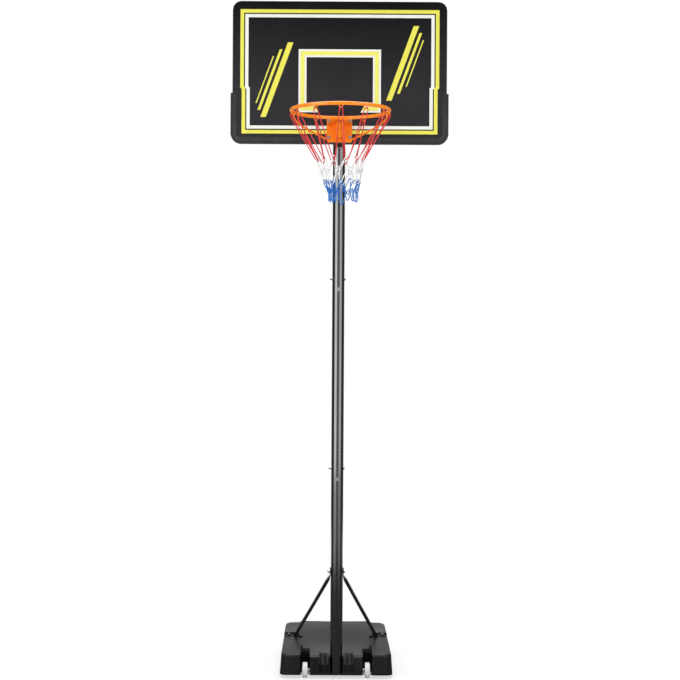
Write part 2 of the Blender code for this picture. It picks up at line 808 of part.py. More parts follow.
def make_struts(materials):
    foot_y = slot_front + foot_from_slot_front
    flat_half = strut_flat_thickness / 2
    top_x = pole_radius + touch_gap + flat_half
    foot_z = slot_floor + touch_gap + strut_radius
    across = Vector((1, 0, 0))
    along = Vector((0, 1, 0))
    for side, sign in (("left", -1), ("right", 1)):
        corners = [(top_x, pole_y, strut_top), (top_x, pole_y, strut_bend),
                   (foot_start, foot_y, foot_z), (foot_end, foot_y, foot_z)]
        points = rounded_path(corners, (0.016, 0.016), 4)
        down = (points[6] - points[5]).normalized()
        points[6:6] = [points[5] + down * 0.012, points[5] + down * 0.026]
        count = len(points)
        bm = tube(points, strut_radius, 4)
        bm.verts.ensure_lookup_table()
        rings = [[] for _ in range(count)]
        for vert in bm.verts:
            nearest = min(range(count), key=lambda index: (vert.co - points[index]).length)
            rings[nearest].append(vert)
        for index, ring in enumerate(rings):
            from_top = (points[index] - points[0]).length
            top_amount = 1 - ramp(from_top, strut_flat_length, strut_flat_length + strut_flat_blend)
            if top_amount > 0:
                flatten_ring(ring, across, along, top_amount)
        if sign < 0:
            bmesh.ops.scale(bm, vec=(-1, 1, 1), verts=bm.verts)
        bmesh.ops.recalc_face_normals(bm, faces=bm.faces)
        strut = add_object(f"strut_{side}", bm, materials["pole"])
        top_hole = rod(hole_radius, sign * 0.02, sign * 0.06, "X", (0, pole_y, strut_bolt_height), 12)
        foot_hole = rod(hole_radius, slot_floor - 0.02, slot_floor + 0.05, "Z",
                        (sign * foot_screw_x, foot_y, 0), 12)
        cut(strut, f"cut_strut_{side}_holes", joined([top_hole, foot_hole]))
        make_bolt(f"foot_screw_{side}", (sign * foot_screw_x, foot_y,
                                         foot_z + strut_radius + touch_gap),
                  (0, 0, 1), foot_screw_length, materials["pole"], None, 0.0085)
    outer = pole_radius + 2 * touch_gap + strut_flat_thickness
    make_bolt("strut_bolt", (outer, pole_y, strut_bolt_height), (1, 0, 0),
              2 * outer + nut_height + 0.004, materials["steel"])
    make_nut("strut_nut", (-outer, pole_y, strut_bolt_height), (-1, 0, 0), materials["steel"])


# backboard

def board_outline(grow, steps=4):
    half = board_width / 2 + grow
    return rounded_outline(rectangle(-half, half, board_bottom - grow, board_top + grow,
                                     board_corner + grow), steps)


def rear_pockets():
    """Pockets between the ribs at the back of the board, left out where the block is."""
    inner_width = board_width - 2 * board_wall
    inner_height = board_height - 2 * board_wall
    step_x = inner_width / pocket_columns
    step_z = inner_height / pocket_rows
    cells = []
    for column in range(pocket_columns):
        for row in range(pocket_rows):
            low_x = -inner_width / 2 + column * step_x + rib_thickness / 2
            high_x = low_x + step_x - rib_thickness
            low_z = board_bottom + board_wall + row * step_z + rib_thickness / 2
            high_z = low_z + step_z - rib_thickness
            on_block = low_z < board_bottom + block_height and abs(low_x + high_x) / 2 < step_x
            if on_block and low_x < 0:
                high_x = min(high_x, -block_width / 2)
            elif on_block:
                low_x = max(low_x, block_width / 2)
            corner = board_corner if column in (0, pocket_columns - 1) and row in (0, pocket_rows - 1) \
                else 0.010
            outline = rounded_outline(rectangle(low_x, high_x, low_z, high_z, corner), 1)
            cells.append(prism(outline, board_front + skin_thickness, board_rear + 0.01, "Y"))
    return joined(cells)


def bolt_places():
    return [(sign * rim_bolt_x, height) for sign in (-1, 1) for height in rim_bolt_heights]


def bolt_holes(low, high):
    return joined([rod(hole_radius, low, high, "Y", (x, 0, z), 12) for x, z in bolt_places()])


def make_board(materials, unit):
    panel = add_object("board_panel", prism(board_outline(0.0), board_front, board_rear, "Y"),
                       materials["board"], parent=unit)
    cut(panel, "cut_rear_pockets", rear_pockets())
    cut(panel, "cut_rim_bolt_holes", bolt_holes(board_front - 0.01, board_rear + 0.01))
    screws = [rod(hole_radius, board_rear - channel_screw_length + channel_wall - 0.002,
                  board_rear + 0.01, "Y", (sign * channel_screw_x, 0, channel_screw_height), 12)
              for sign in (-1, 1)]
    cut(panel, "cut_channel_screw_holes", joined(screws))


def make_edge_pad(materials, unit):
    lip = pad_lip_thickness + touch_gap
    pad = add_object("edge_pad", prism(board_outline(pad_thickness), board_front - lip,
                                       board_rear + lip, "Y"), materials["pad"], parent=unit)
    cut(pad, "cut_pad_seat", prism(board_outline(touch_gap), board_front - touch_gap,
                                   board_rear + touch_gap, "Y"))
    cut(pad, "cut_pad_window", prism(board_outline(-pad_lip_reach), board_front - 0.02,
                                     board_rear + 0.02, "Y"))
    half = board_width
    cut(pad, "cut_pad_top", box((-half, board_front - 0.05, pad_top), (half, board_rear + 0.05, 4.0)))
    notch = bracket_half_width + 0.002
    cut(pad, "cut_pad_bracket_notch", box((-notch, board_front - 0.02, board_bottom - 0.02),
                                          (notch, board_front + touch_gap, board_bottom + 0.03)))
    rear_notch = channel_half_width + 0.002
    cut(pad, "cut_pad_channel_notch", box((-rear_notch, board_rear + touch_gap, board_bottom + 0.001),
                                          (rear_notch, board_rear + 0.02, board_bottom + 0.03)))


def make_channel(materials, unit):
    wall = channel_wall
    web = channel_half_web
    wide = channel_half_width
    bend = channel_bend
    corners = [
        (wide, flange_front, 0.0), (wide, flange_rear, 0.0),
        (web, flange_rear, bend), (web, web_rear, bend + wall),
        (-web, web_rear, bend + wall), (-web, flange_rear, bend),
        (-wide, flange_rear, 0.0), (-wide, flange_front, 0.0),
        (-web + wall, flange_front, bend + wall), (-web + wall, web_front, bend),
        (web - wall, web_front, bend), (web - wall, flange_front, bend + wall),
    ]
    channel = add_object("mount_channel", prism(rounded_outline(corners, 2), channel_bottom, channel_top),
                         materials["pole"], parent=unit)
    clamp_x = pole_radius + clamp_gap + clamp_rod_radius
    clamp_holes = [rod(clamp_rod_radius + bolt_gap, web_front - 0.01, web_rear + 0.01, "Y",
                       (sign * clamp_x, 0, height), 12)
                   for sign in (-1, 1) for height in clamp_heights]
    cut(channel, "cut_clamp_holes", joined(clamp_holes))
    cut(channel, "cut_channel_bolt_holes", bolt_holes(flange_front - 0.01, flange_rear + 0.01))
    screws = [rod(hole_radius, flange_front - 0.01, flange_rear + 0.01, "Y",
                  (sign * channel_screw_x, 0, channel_screw_height), 12) for sign in (-1, 1)]
    cut(channel, "cut_channel_screw_holes_rear", joined(screws))
    for side, sign in (("left", -1), ("right", 1)):
        make_bolt(f"channel_screw_{side}", (sign * channel_screw_x, flange_rear + touch_gap,
                                            channel_screw_height),
                  (0, 1, 0), channel_screw_length, materials["steel"], unit, 0.0085)


def make_clamps(materials, unit):
    radius = pole_radius + clamp_gap + clamp_rod_radius
    nut_seat = web_front - touch_gap
    leg_end = nut_seat - nut_height - 0.004
    for level, height in zip(("lower", "upper"), clamp_heights):
        points = [(radius, leg_end, height), (radius, pole_y - 0.012, height)]
        for step in range(15):
            angle = math.pi * step / 14
            points.append((radius * math.cos(angle), pole_y + radius * math.sin(angle), height))
        points += [(-radius, pole_y - 0.012, height), (-radius, leg_end, height)]
        add_object(f"clamp_{level}", tube(points, clamp_rod_radius, 2), materials["steel"], parent=unit)
        for side, sign in (("left", -1), ("right", 1)):
            make_nut(f"clamp_nut_{level}_{side}", (sign * radius, nut_seat, height), (0, -1, 0),
                     materials["steel"], unit)


# rim

def make_bracket(materials, unit):
    inside = plate_front + 0.001
    plate = prism(rounded_outline(rectangle(-bracket_half_width, bracket_half_width, bracket_bottom,
                                            bracket_top, 0.008), 3), plate_front, plate_rear, "Y")
    bracket = add_object("rim_bracket", plate, materials["rim"], parent=unit)
    arm_end = ring_y + ring_radius - ring_rod_radius
    arm_low = arm_top - arm_sheet
    tongue_start = arm_end + arm_tongue
    slot = arm_slot_half_width
    arm_right = [
        (slot, arm_end, 0.0), (arm_half_width_ring, arm_end, 0.006),
        (arm_half_width_ring, tongue_start, 0.02), (arm_half_width_board, inside, 0.0),
    ]
    arm_left = [(-x, y, radius) for x, y, radius in reversed(arm_right)]
    arm = arm_right + arm_left + [(-slot, tongue_start, 0.005), (slot, tongue_start, 0.005)]
    weld(bracket, "add_arm", prism(rounded_outline(arm, 3), arm_low, arm_top))
    sheet = arm_sheet
    flange = [(arm_half_width_ring - sheet, tongue_start), (arm_half_width_ring, tongue_start),
              (arm_half_width_board - 0.0005, inside), (arm_half_width_board - 0.0005 - sheet, inside)]
    weld(bracket, "add_arm_flanges", mirrored(prism(flange, arm_top - arm_flange_height,
                                                    arm_top - 0.001)))
    low_front = (plate_front - rim_channel_low_reach, bracket_bottom + rim_channel_low_rise)
    high_front = (tongue_start, arm_top - rim_channel_front_depth)
    side = [(inside, arm_top - 0.001), (tongue_start, arm_top - 0.001), high_front, low_front,
            (inside, bracket_bottom + 0.006)]
    weld(bracket, "add_channel_sides", mirrored(prism(side, rim_channel_half_width - sheet,
                                                      rim_channel_half_width, "X")))
    cover = [high_front, low_front, (low_front[0], low_front[1] + sheet * 1.2),
             (high_front[0], high_front[1] + sheet * 1.2)]
    weld(bracket, "add_channel_cover", prism(cover, -rim_channel_half_width - 0.0008,
                                             rim_channel_half_width + 0.0008, "X"))
    weld(bracket, "add_lower_lip",
         box((-rim_lip_half_width, plate_front - rim_lip_reach, bracket_bottom + 0.0005),
             (rim_lip_half_width, inside, bracket_bottom + 0.0005 + sheet)))
    cut(bracket, "cut_bracket_holes", bolt_holes(plate_front - 0.01, plate_rear + 0.01))
    length = bracket_thickness + board_thickness + channel_wall + 4 * touch_gap + nut_height + 0.004
    for number, (x, z) in enumerate(bolt_places()):
        name = ("left" if x < 0 else "right") + ("_lower" if z < ring_height - 0.04 else "_upper")
        make_bolt(f"rim_bolt_{name}", (x, plate_front - touch_gap, z), (0, -1, 0), length,
                  materials["steel"], unit, 0.0085)
        make_nut(f"rim_nut_{name}", (x, flange_rear + touch_gap, z), (0, 1, 0), materials["steel"], unit)


def around_ring(angle, radius, height):
    """A point about the ring's axis; angle 0 is the side of the bracket."""
    return Vector((radius * math.sin(angle), ring_y + radius * math.cos(angle), height))


def hook(angle, half_width):
    """Wire bent to a V under the ring, along the ring; the cord hangs in its rounded corner."""
    low = ring_height - hook_drop
    start = ring_height - 0.0045
    right_half = [(0.0042, low + 0.0016), (0.0068, low + 0.0062), (half_width, start)]
    left_half = [(-across, height) for across, height in reversed(right_half)]
    return tube([around_ring(angle + across / ring_radius, ring_radius, height)
                 for across, height in left_half + [(0.0, low)] + right_half], hook_wire_radius, 0)


def make_ring(materials, unit):
    section = []
    for step in range(ring_sides):
        angle = math.tau * (step + 0.5) / ring_sides
        section.append((ring_radius + ring_rod_radius * math.cos(angle),
                        ring_height + ring_rod_radius * math.sin(angle)))
    ring = add_object("rim_ring", turned(section, 48, "Z", (0, ring_y, 0), True), materials["rim"],
                      parent=unit)
    in_slot = min(hook_half_width, arm_slot_half_width - hook_wire_radius - 3 * touch_gap)
    hooks = [hook(0.0, in_slot)]
    hooks += [hook(math.tau * number / hook_count, hook_half_width) for number in range(1, hook_count)]
    weld(ring, "add_hooks", joined(hooks))


def make_braces(materials, unit):
    angle = math.radians(brace_angle)
    low = ring_underside - brace_radius - touch_gap
    straight = Vector((0, -0.008, 0))
    start = Vector((bracket_half_width - 0.006, plate_front - touch_gap, bracket_bottom + 0.011))
    end = around_ring(angle, ring_radius, low)
    tangent = Vector((math.cos(angle), -math.sin(angle), 0))
    for side, sign in (("left", -1), ("right", 1)):
        flip = Vector((sign, 1, 1))
        path = interpolate_bezier((start + straight) * flip,
                                  (start + straight * 9 + Vector((0.0, 0.0, -0.006))) * flip,
                                  (end - tangent * 0.10 + Vector((0.031, 0, -0.034))) * flip,
                                  end * flip, 13)
        add_object(f"brace_{side}", tube([start * flip] + path, brace_radius, 2), materials["rim"],
                   parent=unit)


# net

def net_radius(height):
    """Radius of the net's surface at a height, through the ring's hooks and the loop rows."""
    levels = (ring_height - hook_drop,) + net_heights
    radii = (ring_radius,) + net_radii
    for upper in range(len(levels) - 1):
        if height >= levels[upper + 1] or upper == len(levels) - 2:
            share = (levels[upper] - height) / (levels[upper] - levels[upper + 1])
            share = min(max(share, 0.0), 1.2)
            return radii[upper] + (radii[upper + 1] - radii[upper]) * share
    return radii[-1]


def loop_turn(angle, height, upright, linked):
    """Three points of one turn of the cord. Linked turns cross the next row's turn, one leg
    outside it and the other inside, so that the two loops hold each other."""
    side = cord_radius + cord_gap / 2 if linked else 0.0
    lean = math.atan((net_radius(height + 0.004) - net_radius(height - 0.004)) / 0.008)
    legs = [(-loop_half_width, 0.0, side), (0.0, -loop_half_height, 0.0),
            (loop_half_width, 0.0, -side)]
    points = []
    for across, rise, out in legs:
        z = height + rise * upright
        radius = net_radius(z) + out * upright * math.cos(lean)
        points.append(around_ring(angle + across / net_radius(height), radius,
                                  z - out * upright * math.sin(lean)))
    return points


def hook_turn(angle):
    """Turn of the first row through a hook: one leg outside the wire and one inside, the outer
    leg on the bracket's side, clear of the brace rods."""
    side = hook_wire_radius + cord_radius + 2 * touch_gap
    apex = ring_height - hook_drop + side
    outer = 1.0 if math.sin(angle) > -0.01 else -1.0
    points = []
    for across, drop, out in ((-0.0075, 0.0100, outer), (-0.0018, 0.0012, outer), (0.0, 0.0, 0.0),
                              (0.0018, 0.0012, -outer), (0.0075, 0.0100, -outer)):
        points.append(around_ring(angle + across / ring_radius, ring_radius + out * side, apex - drop))
    return points


def net_row(number):
    """Closed zigzag of one row, from the loops of the row above to its own loops below."""
    spacing = math.tau / hook_count
    points = []
    for column in range(hook_count):
        upper = spacing * (column + number / 2)
        lower = upper + spacing / 2
        if number == 0:
            points += hook_turn(upper)
        else:
            points += loop_turn(upper, net_heights[number - 1], -1, True)
        last = number == len(net_heights) - 1
        points += loop_turn(lower, net_heights[number], 1, not last)
    return points


def least_gap(first, second):
    """Smallest distance between two closed lines of points, less two cord radii."""
    def filled(line):
        pairs = zip(line, line[1:] + line[:1])
        return [start.lerp(end, share / 6) for start, end in pairs for share in range(6)]
    closest = min((one - two).length for one in filled(first) for two in filled(second)
                  if abs(one.z - two.z) < 0.01)
    return closest - 2 * cord_radius


def make_net(materials, unit):
    rows = [net_row(number) for number in range(len(net_heights))]
    for number, (name, row) in enumerate(zip(net_names, rows)):
        colour = name.split("_")[1]
        add_object(name, tube(row, cord_radius, 0, closed=True), materials[colour], parent=unit)
        if number:
            gap = least_gap(rows[number - 1], row) * 1000
            print(f"least gap between {net_names[number - 1]} and {name}: {gap:.2f} mm")


def main():
    clear_scene()
    materials = make_materials()
    unit = bpy.data.objects.new("board_unit", None)
    unit.location = (0, pole_y, (clamp_heights[0] + clamp_heights[1]) / 2)
    bpy.context.scene.collection.objects.link(unit)
    make_base_tank(materials["tank"])
    make_filler_cap(materials["cap"])
    make_wheels(materials)
    make_poles(materials)
    make_joint_fasteners(materials)
    make_struts(materials)
    make_board(materials, unit)
    make_edge_pad(materials, unit)
    make_channel(materials, unit)
    make_clamps(materials, unit)
    make_bracket(materials, unit)
    make_ring(materials, unit)
    make_braces(materials, unit)
    make_net(materials, unit)


main()
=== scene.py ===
import json
import math
import random
import bmesh
import bpy
from mathutils import Matrix, Vector


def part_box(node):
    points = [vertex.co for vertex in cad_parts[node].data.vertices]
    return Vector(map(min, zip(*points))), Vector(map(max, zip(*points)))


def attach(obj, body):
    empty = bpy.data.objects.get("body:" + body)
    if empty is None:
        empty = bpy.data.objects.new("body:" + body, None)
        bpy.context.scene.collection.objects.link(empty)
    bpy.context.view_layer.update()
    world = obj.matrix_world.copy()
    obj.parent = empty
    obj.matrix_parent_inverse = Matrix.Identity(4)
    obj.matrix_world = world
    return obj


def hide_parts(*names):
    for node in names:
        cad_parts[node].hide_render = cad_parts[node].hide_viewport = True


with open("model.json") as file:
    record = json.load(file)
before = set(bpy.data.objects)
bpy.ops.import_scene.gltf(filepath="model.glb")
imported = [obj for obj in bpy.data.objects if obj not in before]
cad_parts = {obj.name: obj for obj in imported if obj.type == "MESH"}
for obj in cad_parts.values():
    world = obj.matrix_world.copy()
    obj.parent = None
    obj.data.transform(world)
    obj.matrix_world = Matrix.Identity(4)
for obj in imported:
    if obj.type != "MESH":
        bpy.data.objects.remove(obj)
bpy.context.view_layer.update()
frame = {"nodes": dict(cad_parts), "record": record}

# Look of the portable basketball stand: metres, +Z up, the ring side faces -Y.

nodes = frame["nodes"]
weldDistance = 1e-6         # points nearer to each other than this count as one


# helpers for node trees, of a material or of the world

def startMaterial(name, **sockets):
    # sockets are the shader's fixed values, with _ in place of each space of a name
    material = bpy.data.materials.new(name)
    material.use_nodes = True
    for socket, value in sockets.items():
        shaderOf(material).inputs[socket.replace("_", " ")].default_value = value
    return material


def finished(material, colour, roughness, normal):
    # links what varies over the surface to the shader
    shader = shaderOf(material)
    join(material, colour, shader.inputs["Base Color"])
    join(material, roughness, shader.inputs["Roughness"])
    join(material, normal, shader.inputs["Normal"])
    return material


def shaderOf(material):
    return material.node_tree.nodes["Principled BSDF"]


def addNode(material, kind, **values):
    node = material.node_tree.nodes.new(kind)
    for key, value in values.items():
        setattr(node, key, value)
    return node


def join(material, output, socket):
    material.node_tree.links.new(output, socket)


def feed(material, value, socket):
    # a number is set on the socket, an output is linked to it
    if isinstance(value, (int, float)):
        socket.default_value = value
    else:
        join(material, value, socket)


def placed(material, stretch=(1, 1, 1)):
    # object coordinates in metres
    coordinates = addNode(material, "ShaderNodeTexCoord")
    mapping = addNode(material, "ShaderNodeMapping")
    mapping.inputs["Scale"].default_value = stretch
    join(material, coordinates.outputs["Object"], mapping.inputs["Vector"])
    return mapping.outputs["Vector"]


def along(material, axis):
    # one object coordinate; Z is the height above the floor
    split = addNode(material, "ShaderNodeSeparateXYZ")
    join(material, placed(material), split.inputs["Vector"])
    return split.outputs[axis]


def noise(material, scale, detail, stretch=(1, 1, 1)):
    texture = addNode(material, "ShaderNodeTexNoise")
    texture.inputs["Scale"].default_value = scale
    texture.inputs["Detail"].default_value = detail
    join(material, placed(material, stretch), texture.inputs["Vector"])
    return texture.outputs["Fac"]


def cells(material, scale):
    texture = addNode(material, "ShaderNodeTexVoronoi")
    texture.inputs["Scale"].default_value = scale
    join(material, placed(material), texture.inputs["Vector"])
    return texture.outputs["Distance"]


def ranged(material, value, fromRange, toRange=(0.0, 1.0)):
    # carries a value from one range over to another and stops at its ends
    node = addNode(material, "ShaderNodeMapRange", clamp=True)
    numbers = (*fromRange, *toRange)
    for key, number in zip(("From Min", "From Max", "To Min", "To Max"), numbers):
        node.inputs[key].default_value = number
    join(material, value, node.inputs["Value"])
    return node.outputs["Result"]


def patches(material, pattern, toRange=(0.0, 1.0), stretch=(1, 1, 1)):
    # pattern is waves per metre, detail, and the two noise values between which a patch's edge lies
    scale, detail, low, high = pattern
    return ranged(material, noise(material, scale, detail, stretch), (low, high), toRange)


def maths(material, operation, first, second):
    node = addNode(material, "ShaderNodeMath", operation=operation)
    feed(material, first, node.inputs[0])
    feed(material, second, node.inputs[1])
    return node.outputs["Value"]


def weighted(material, first, firstShare, second, secondShare):
    # the sum of two values, each times its share
    return maths(material, "ADD", maths(material, "MULTIPLY", first, firstShare),
                 maths(material, "MULTIPLY", second, secondShare))


def between(material, factor, first, second):
    # a value between two, each a number or an output
    node = addNode(material, "ShaderNodeMix")
    feed(material, factor, node.inputs[0])
    feed(material, first, node.inputs[2])
    feed(material, second, node.inputs[3])
    return node.outputs[0]


def mixed(material, factor, first, second):
    # a colour between two, each a tuple or an output
    node = addNode(material, "ShaderNodeMix", data_type="RGBA")
    join(material, factor, node.inputs[0])
    for socket, value in ((node.inputs[6], first), (node.inputs[7], second)):
        if isinstance(value, tuple):
            socket.default_value = (*value, 1)
        else:
            join(material, value, socket)
    return node.outputs[2]


def relief(material, value, distance, strength=0.6, below=None):
    # bump from a value; below is the normal of the layer underneath
    node = addNode(material, "ShaderNodeBump")
    node.inputs["Strength"].default_value = strength
    node.inputs["Distance"].default_value = distance
    join(material, value, node.inputs["Height"])
    if below is not None:
        join(material, below, node.inputs["Normal"])
    return node.outputs["Normal"]


# materials; a pattern is its waves per metre and detail, then the noise values at the edge of its patches

tankLook = {
    "colour": (0.0070, 0.0070, 0.0074),
    "paleColour": (0.0110, 0.0110, 0.0114),
    "dustColour": (0.045, 0.043, 0.041),
    "specular": 0.30,
    "clouds": (5.0, 4.0), "cloudEdges": (0.35, 0.70),
    "specks": (260.0, 2.0),
    "sheenShares": (0.6, 0.4), "sheenEdges": (0.35, 0.65),      # of the clouds and the specks
    "roughness": (0.36, 0.48),
    "scuffs": (55.0, 6.0, 0.60, 0.72), "scuffStretch": (1, 1, 0.25), "scuffShare": 0.30,
    "scuffHeights": (0.050, 0.004),      # none above the first height, all of them below the second
    "grain": (780, 2.0), "grainDepth": 0.00014,
    "waves": (9.0, 1.0), "waveDepth": 0.0012, "waveStrength": 0.5,      # slow waves of the blow moulding
}


def makeTankPlastic(look=tankLook):
    m = startMaterial("mouldedTank", Specular_IOR_Level=look["specular"])
    cloud = noise(m, *look["clouds"])
    speck = noise(m, *look["specks"])
    colour = mixed(m, ranged(m, cloud, look["cloudEdges"]), look["colour"], look["paleColour"])
    scuff = maths(m, "MULTIPLY", patches(m, look["scuffs"], stretch=look["scuffStretch"]),
                  ranged(m, along(m, "Z"), look["scuffHeights"]))
    colour = mixed(m, maths(m, "MULTIPLY", scuff, look["scuffShare"]), colour, look["dustColour"])
    cloudShare, speckShare = look["sheenShares"]
    sheen = weighted(m, cloud, cloudShare, speck, speckShare)
    rough = ranged(m, sheen, look["sheenEdges"], look["roughness"])
    waves = relief(m, noise(m, *look["waves"]), look["waveDepth"], look["waveStrength"])
    return finished(m, colour, rough, relief(m, noise(m, *look["grain"]), look["grainDepth"], below=waves))


enamelLook = {
    "colour": (0.0034, 0.0034, 0.0040),
    "paleColour": (0.0055, 0.0055, 0.0062),
    "index": 1.9, "coatRoughness": 0.10,
    "clouds": (38.0, 4.0, 0.35, 0.70),
    "sheen": (14.0, 5.0, 0.35, 0.68), "sheenStretch": (1, 1, 0.35),
    "roughness": (0.15, 0.22),
    "peel": (150, 2.0), "peelDepth": 0.000008,       # orange peel of the lacquer
}


def makeBlackEnamel(look=enamelLook):
    m = startMaterial("blackEnamel", IOR=look["index"], Coat_Weight=1.0,
                      Coat_Roughness=look["coatRoughness"])
    colour = mixed(m, patches(m, look["clouds"]), look["colour"], look["paleColour"])
    rough = patches(m, look["sheen"], look["roughness"], look["sheenStretch"])
    return finished(m, colour, rough, relief(m, noise(m, *look["peel"]), look["peelDepth"]))


zincLook = {
    "colour": (0.66, 0.67, 0.69),
    "dullColour": (0.46, 0.46, 0.47),
    "clouds": (190.0, 3.0, 0.40, 0.66),
    "spangle": 520, "spangleEdges": (0.0, 0.7),
    "roughness": (0.24, 0.42),
    "grit": (900.0, 3.0), "gritDepth": 0.00004, "gritStrength": 0.5,
}


def makeZincSteel(look=zincLook):
    m = startMaterial("zincSteel", Metallic=1.0)
    colour = mixed(m, patches(m, look["clouds"]), look["colour"], look["dullColour"])
    rough = ranged(m, cells(m, look["spangle"]), look["spangleEdges"], look["roughness"])
    grit = relief(m, noise(m, *look["grit"]), look["gritDepth"], look["gritStrength"])
    return finished(m, colour, rough, grit)


boardLook = {
    "shadedTopColour": (0.0026, 0.0026, 0.0040),
    "litLowColour": (0.0260, 0.0260, 0.0295),      # painted light, paler than the painted shade at the top
    "scratchColour": (0.055, 0.055, 0.060),
    "specular": 0.12,
    # the painted shade of the top turns into the painted light of the bottom between these two heights
    "paintedLightHeights": (3.38, 2.95), "paintedLightShare": 0.86,
    "clouds": (3.0, 3.0, 0.35, 0.65), "cloudShare": 0.14,
    "scratches": (60.0, 2.0, 0.71, 0.76), "scratchStretch": (0.35, 1, 7.0), "scratchShare": 0.20,
    "sheen": (36.0, 5.0, 0.35, 0.65),
    "roughness": (0.40, 0.52),
    "leather": 620, "leatherDepth": 0.00010,    # pattern of the mould, cells per metre
}


def makeBoardPlastic(look=boardLook):
    m = startMaterial("boardPlastic", Specular_IOR_Level=look["specular"])
    # painted light and shade: darker towards the top of the board, paler towards the bottom, with random
    # clouds mixed in
    paintedLightAndClouds = weighted(m, ranged(m, along(m, "Z"), look["paintedLightHeights"]), look["paintedLightShare"],
                    patches(m, look["clouds"]), look["cloudShare"])
    colour = mixed(m, paintedLightAndClouds, look["shadedTopColour"], look["litLowColour"])
    scratch = patches(m, look["scratches"], stretch=look["scratchStretch"])
    colour = mixed(m, maths(m, "MULTIPLY", scratch, look["scratchShare"]), colour, look["scratchColour"])
    rough = patches(m, look["sheen"], look["roughness"])
    return finished(m, colour, rough, relief(m, cells(m, look["leather"]), look["leatherDepth"]))


inkLook = {
    "yellow": (0.82, 0.775, 0.092),
    "paleYellow": (0.86, 0.85, 0.16),
    "white": (0.86, 0.86, 0.80),
    "specular": 0.4,
    "blotches": (48.0, 5.0, 0.45, 0.72), "wear": 0.22, "thinness": 0.84,
    "sheen": (80.0, 3.0, 0.35, 0.65),
    "roughness": (0.36, 0.50),
    "strength": 0.5,            # of the board's pattern in the ink
}


def makeInk(name, colour, look=inkLook):
    m = startMaterial(name, Specular_IOR_Level=look["specular"])
    thin = tuple(channel * look["thinness"] for channel in colour)
    worn = mixed(m, maths(m, "MULTIPLY", patches(m, look["blotches"]), look["wear"]), colour, thin)
    rough = patches(m, look["sheen"], look["roughness"])
    leather = relief(m, cells(m, boardLook["leather"]), boardLook["leatherDepth"], look["strength"])
    return finished(m, worn, rough, leather)


rubberLook = {
    "colour": (0.0145, 0.0145, 0.0162),
    "paleColour": (0.0230, 0.0230, 0.0248),
    "specular": 0.45,
    "clouds": (16.0, 5.0, 0.40, 0.68),
    "sheen": (120.0, 3.0, 0.3, 0.7),
    "roughness": (0.50, 0.66),
    "grain": (900, 3.0), "grainDepth": 0.00018,
}


def makePadRubber(look=rubberLook):
    m = startMaterial("padRubber", Specular_IOR_Level=look["specular"])
    colour = mixed(m, patches(m, look["clouds"]), look["colour"], look["paleColour"])
    rough = patches(m, look["sheen"], look["roughness"])
    return finished(m, colour, rough, relief(m, noise(m, *look["grain"]), look["grainDepth"]))


orangeLook = {
    "colour": (1.00, 0.270, 0.003),
    "deepColour": (0.96, 0.220, 0.002),
    "chipColour": (0.24, 0.055, 0.02),
    "specular": 0.35, "coat": 0.20, "coatRoughness": 0.12,
    "clouds": (26.0, 4.0, 0.42, 0.70),
    "chips": (210.0, 4.0, 0.715, 0.735), "chipShare": 0.6,
    "sheen": (60.0, 3.0, 0.35, 0.65),
    "roughness": (0.22, 0.34),
    "peel": (300.0, 2.0), "peelDepth": 0.00008,
}


def makeOrangeEnamel(look=orangeLook):
    m = startMaterial("orangeEnamel", Specular_IOR_Level=look["specular"], Coat_Weight=look["coat"],
                      Coat_Roughness=look["coatRoughness"])
    colour = mixed(m, patches(m, look["clouds"]), look["colour"], look["deepColour"])
    chips = maths(m, "MULTIPLY", patches(m, look["chips"]), look["chipShare"])
    colour = mixed(m, chips, colour, look["chipColour"])
    rough = patches(m, look["sheen"], look["roughness"])
    return finished(m, colour, rough, relief(m, noise(m, *look["peel"]), look["peelDepth"]))


wheelLook = {
    "colour": (0.62, 0.62, 0.61),
    "scuffColour": (0.36, 0.35, 0.34),
    "scuffs": (130.0, 6.0, 0.60, 0.74), "scuffStretch": (0.35, 1, 1), "scuffShare": 0.45,
    "sheen": (90.0, 4.0, 0.35, 0.65),
    "roughness": (0.36, 0.50),
    "grain": (500.0, 3.0), "grainDepth": 0.00010,
}


def makeWheelPlastic(look=wheelLook):
    m = startMaterial("wheelPlastic")
    scuff = patches(m, look["scuffs"], stretch=look["scuffStretch"])
    colour = mixed(m, maths(m, "MULTIPLY", scuff, look["scuffShare"]), look["colour"], look["scuffColour"])
    rough = patches(m, look["sheen"], look["roughness"])
    return finished(m, colour, rough, relief(m, noise(m, *look["grain"]), look["grainDepth"]))


capLook = {
    "colour": (0.016, 0.016, 0.017),
    "paleColour": (0.030, 0.030, 0.031),
    "clouds": (70.0, 4.0, 0.4, 0.7),
    "sheen": (150.0, 3.0, 0.3, 0.7),
    "roughness": (0.42, 0.60),
    "grain": (1100.0, 2.0), "grainDepth": 0.00012,
}


def makeCapPlastic(look=capLook):
    m = startMaterial("capPlastic")
    colour = mixed(m, patches(m, look["clouds"]), look["colour"], look["paleColour"])
    rough = patches(m, look["sheen"], look["roughness"])
    return finished(m, colour, rough, relief(m, noise(m, *look["grain"]), look["grainDepth"]))


cordLook = {
    "red": ((0.62, 0.016, 0.021), (0.78, 0.060, 0.054)),     # shaded strand, lit fibre tips
    "white": ((0.78, 0.78, 0.77), (0.88, 0.88, 0.88)),
    "blue": ((0.010, 0.130, 0.52), (0.050, 0.29, 0.76)),
    "specular": 0.3, "sheen": 0.25, "sheenRoughness": 0.4,
    "fibres": (1500, 3.0), "fibreEdges": (0.40, 0.68), "fibreShare": 0.5,
    "patches": (55.0, 3.0, 0.42, 0.66), "patchShare": 0.35,
    "roughEdges": (0.3, 0.7), "roughness": (0.66, 0.86),
    "fibreDepth": 0.0002, "fibreStrength": 0.7,
}


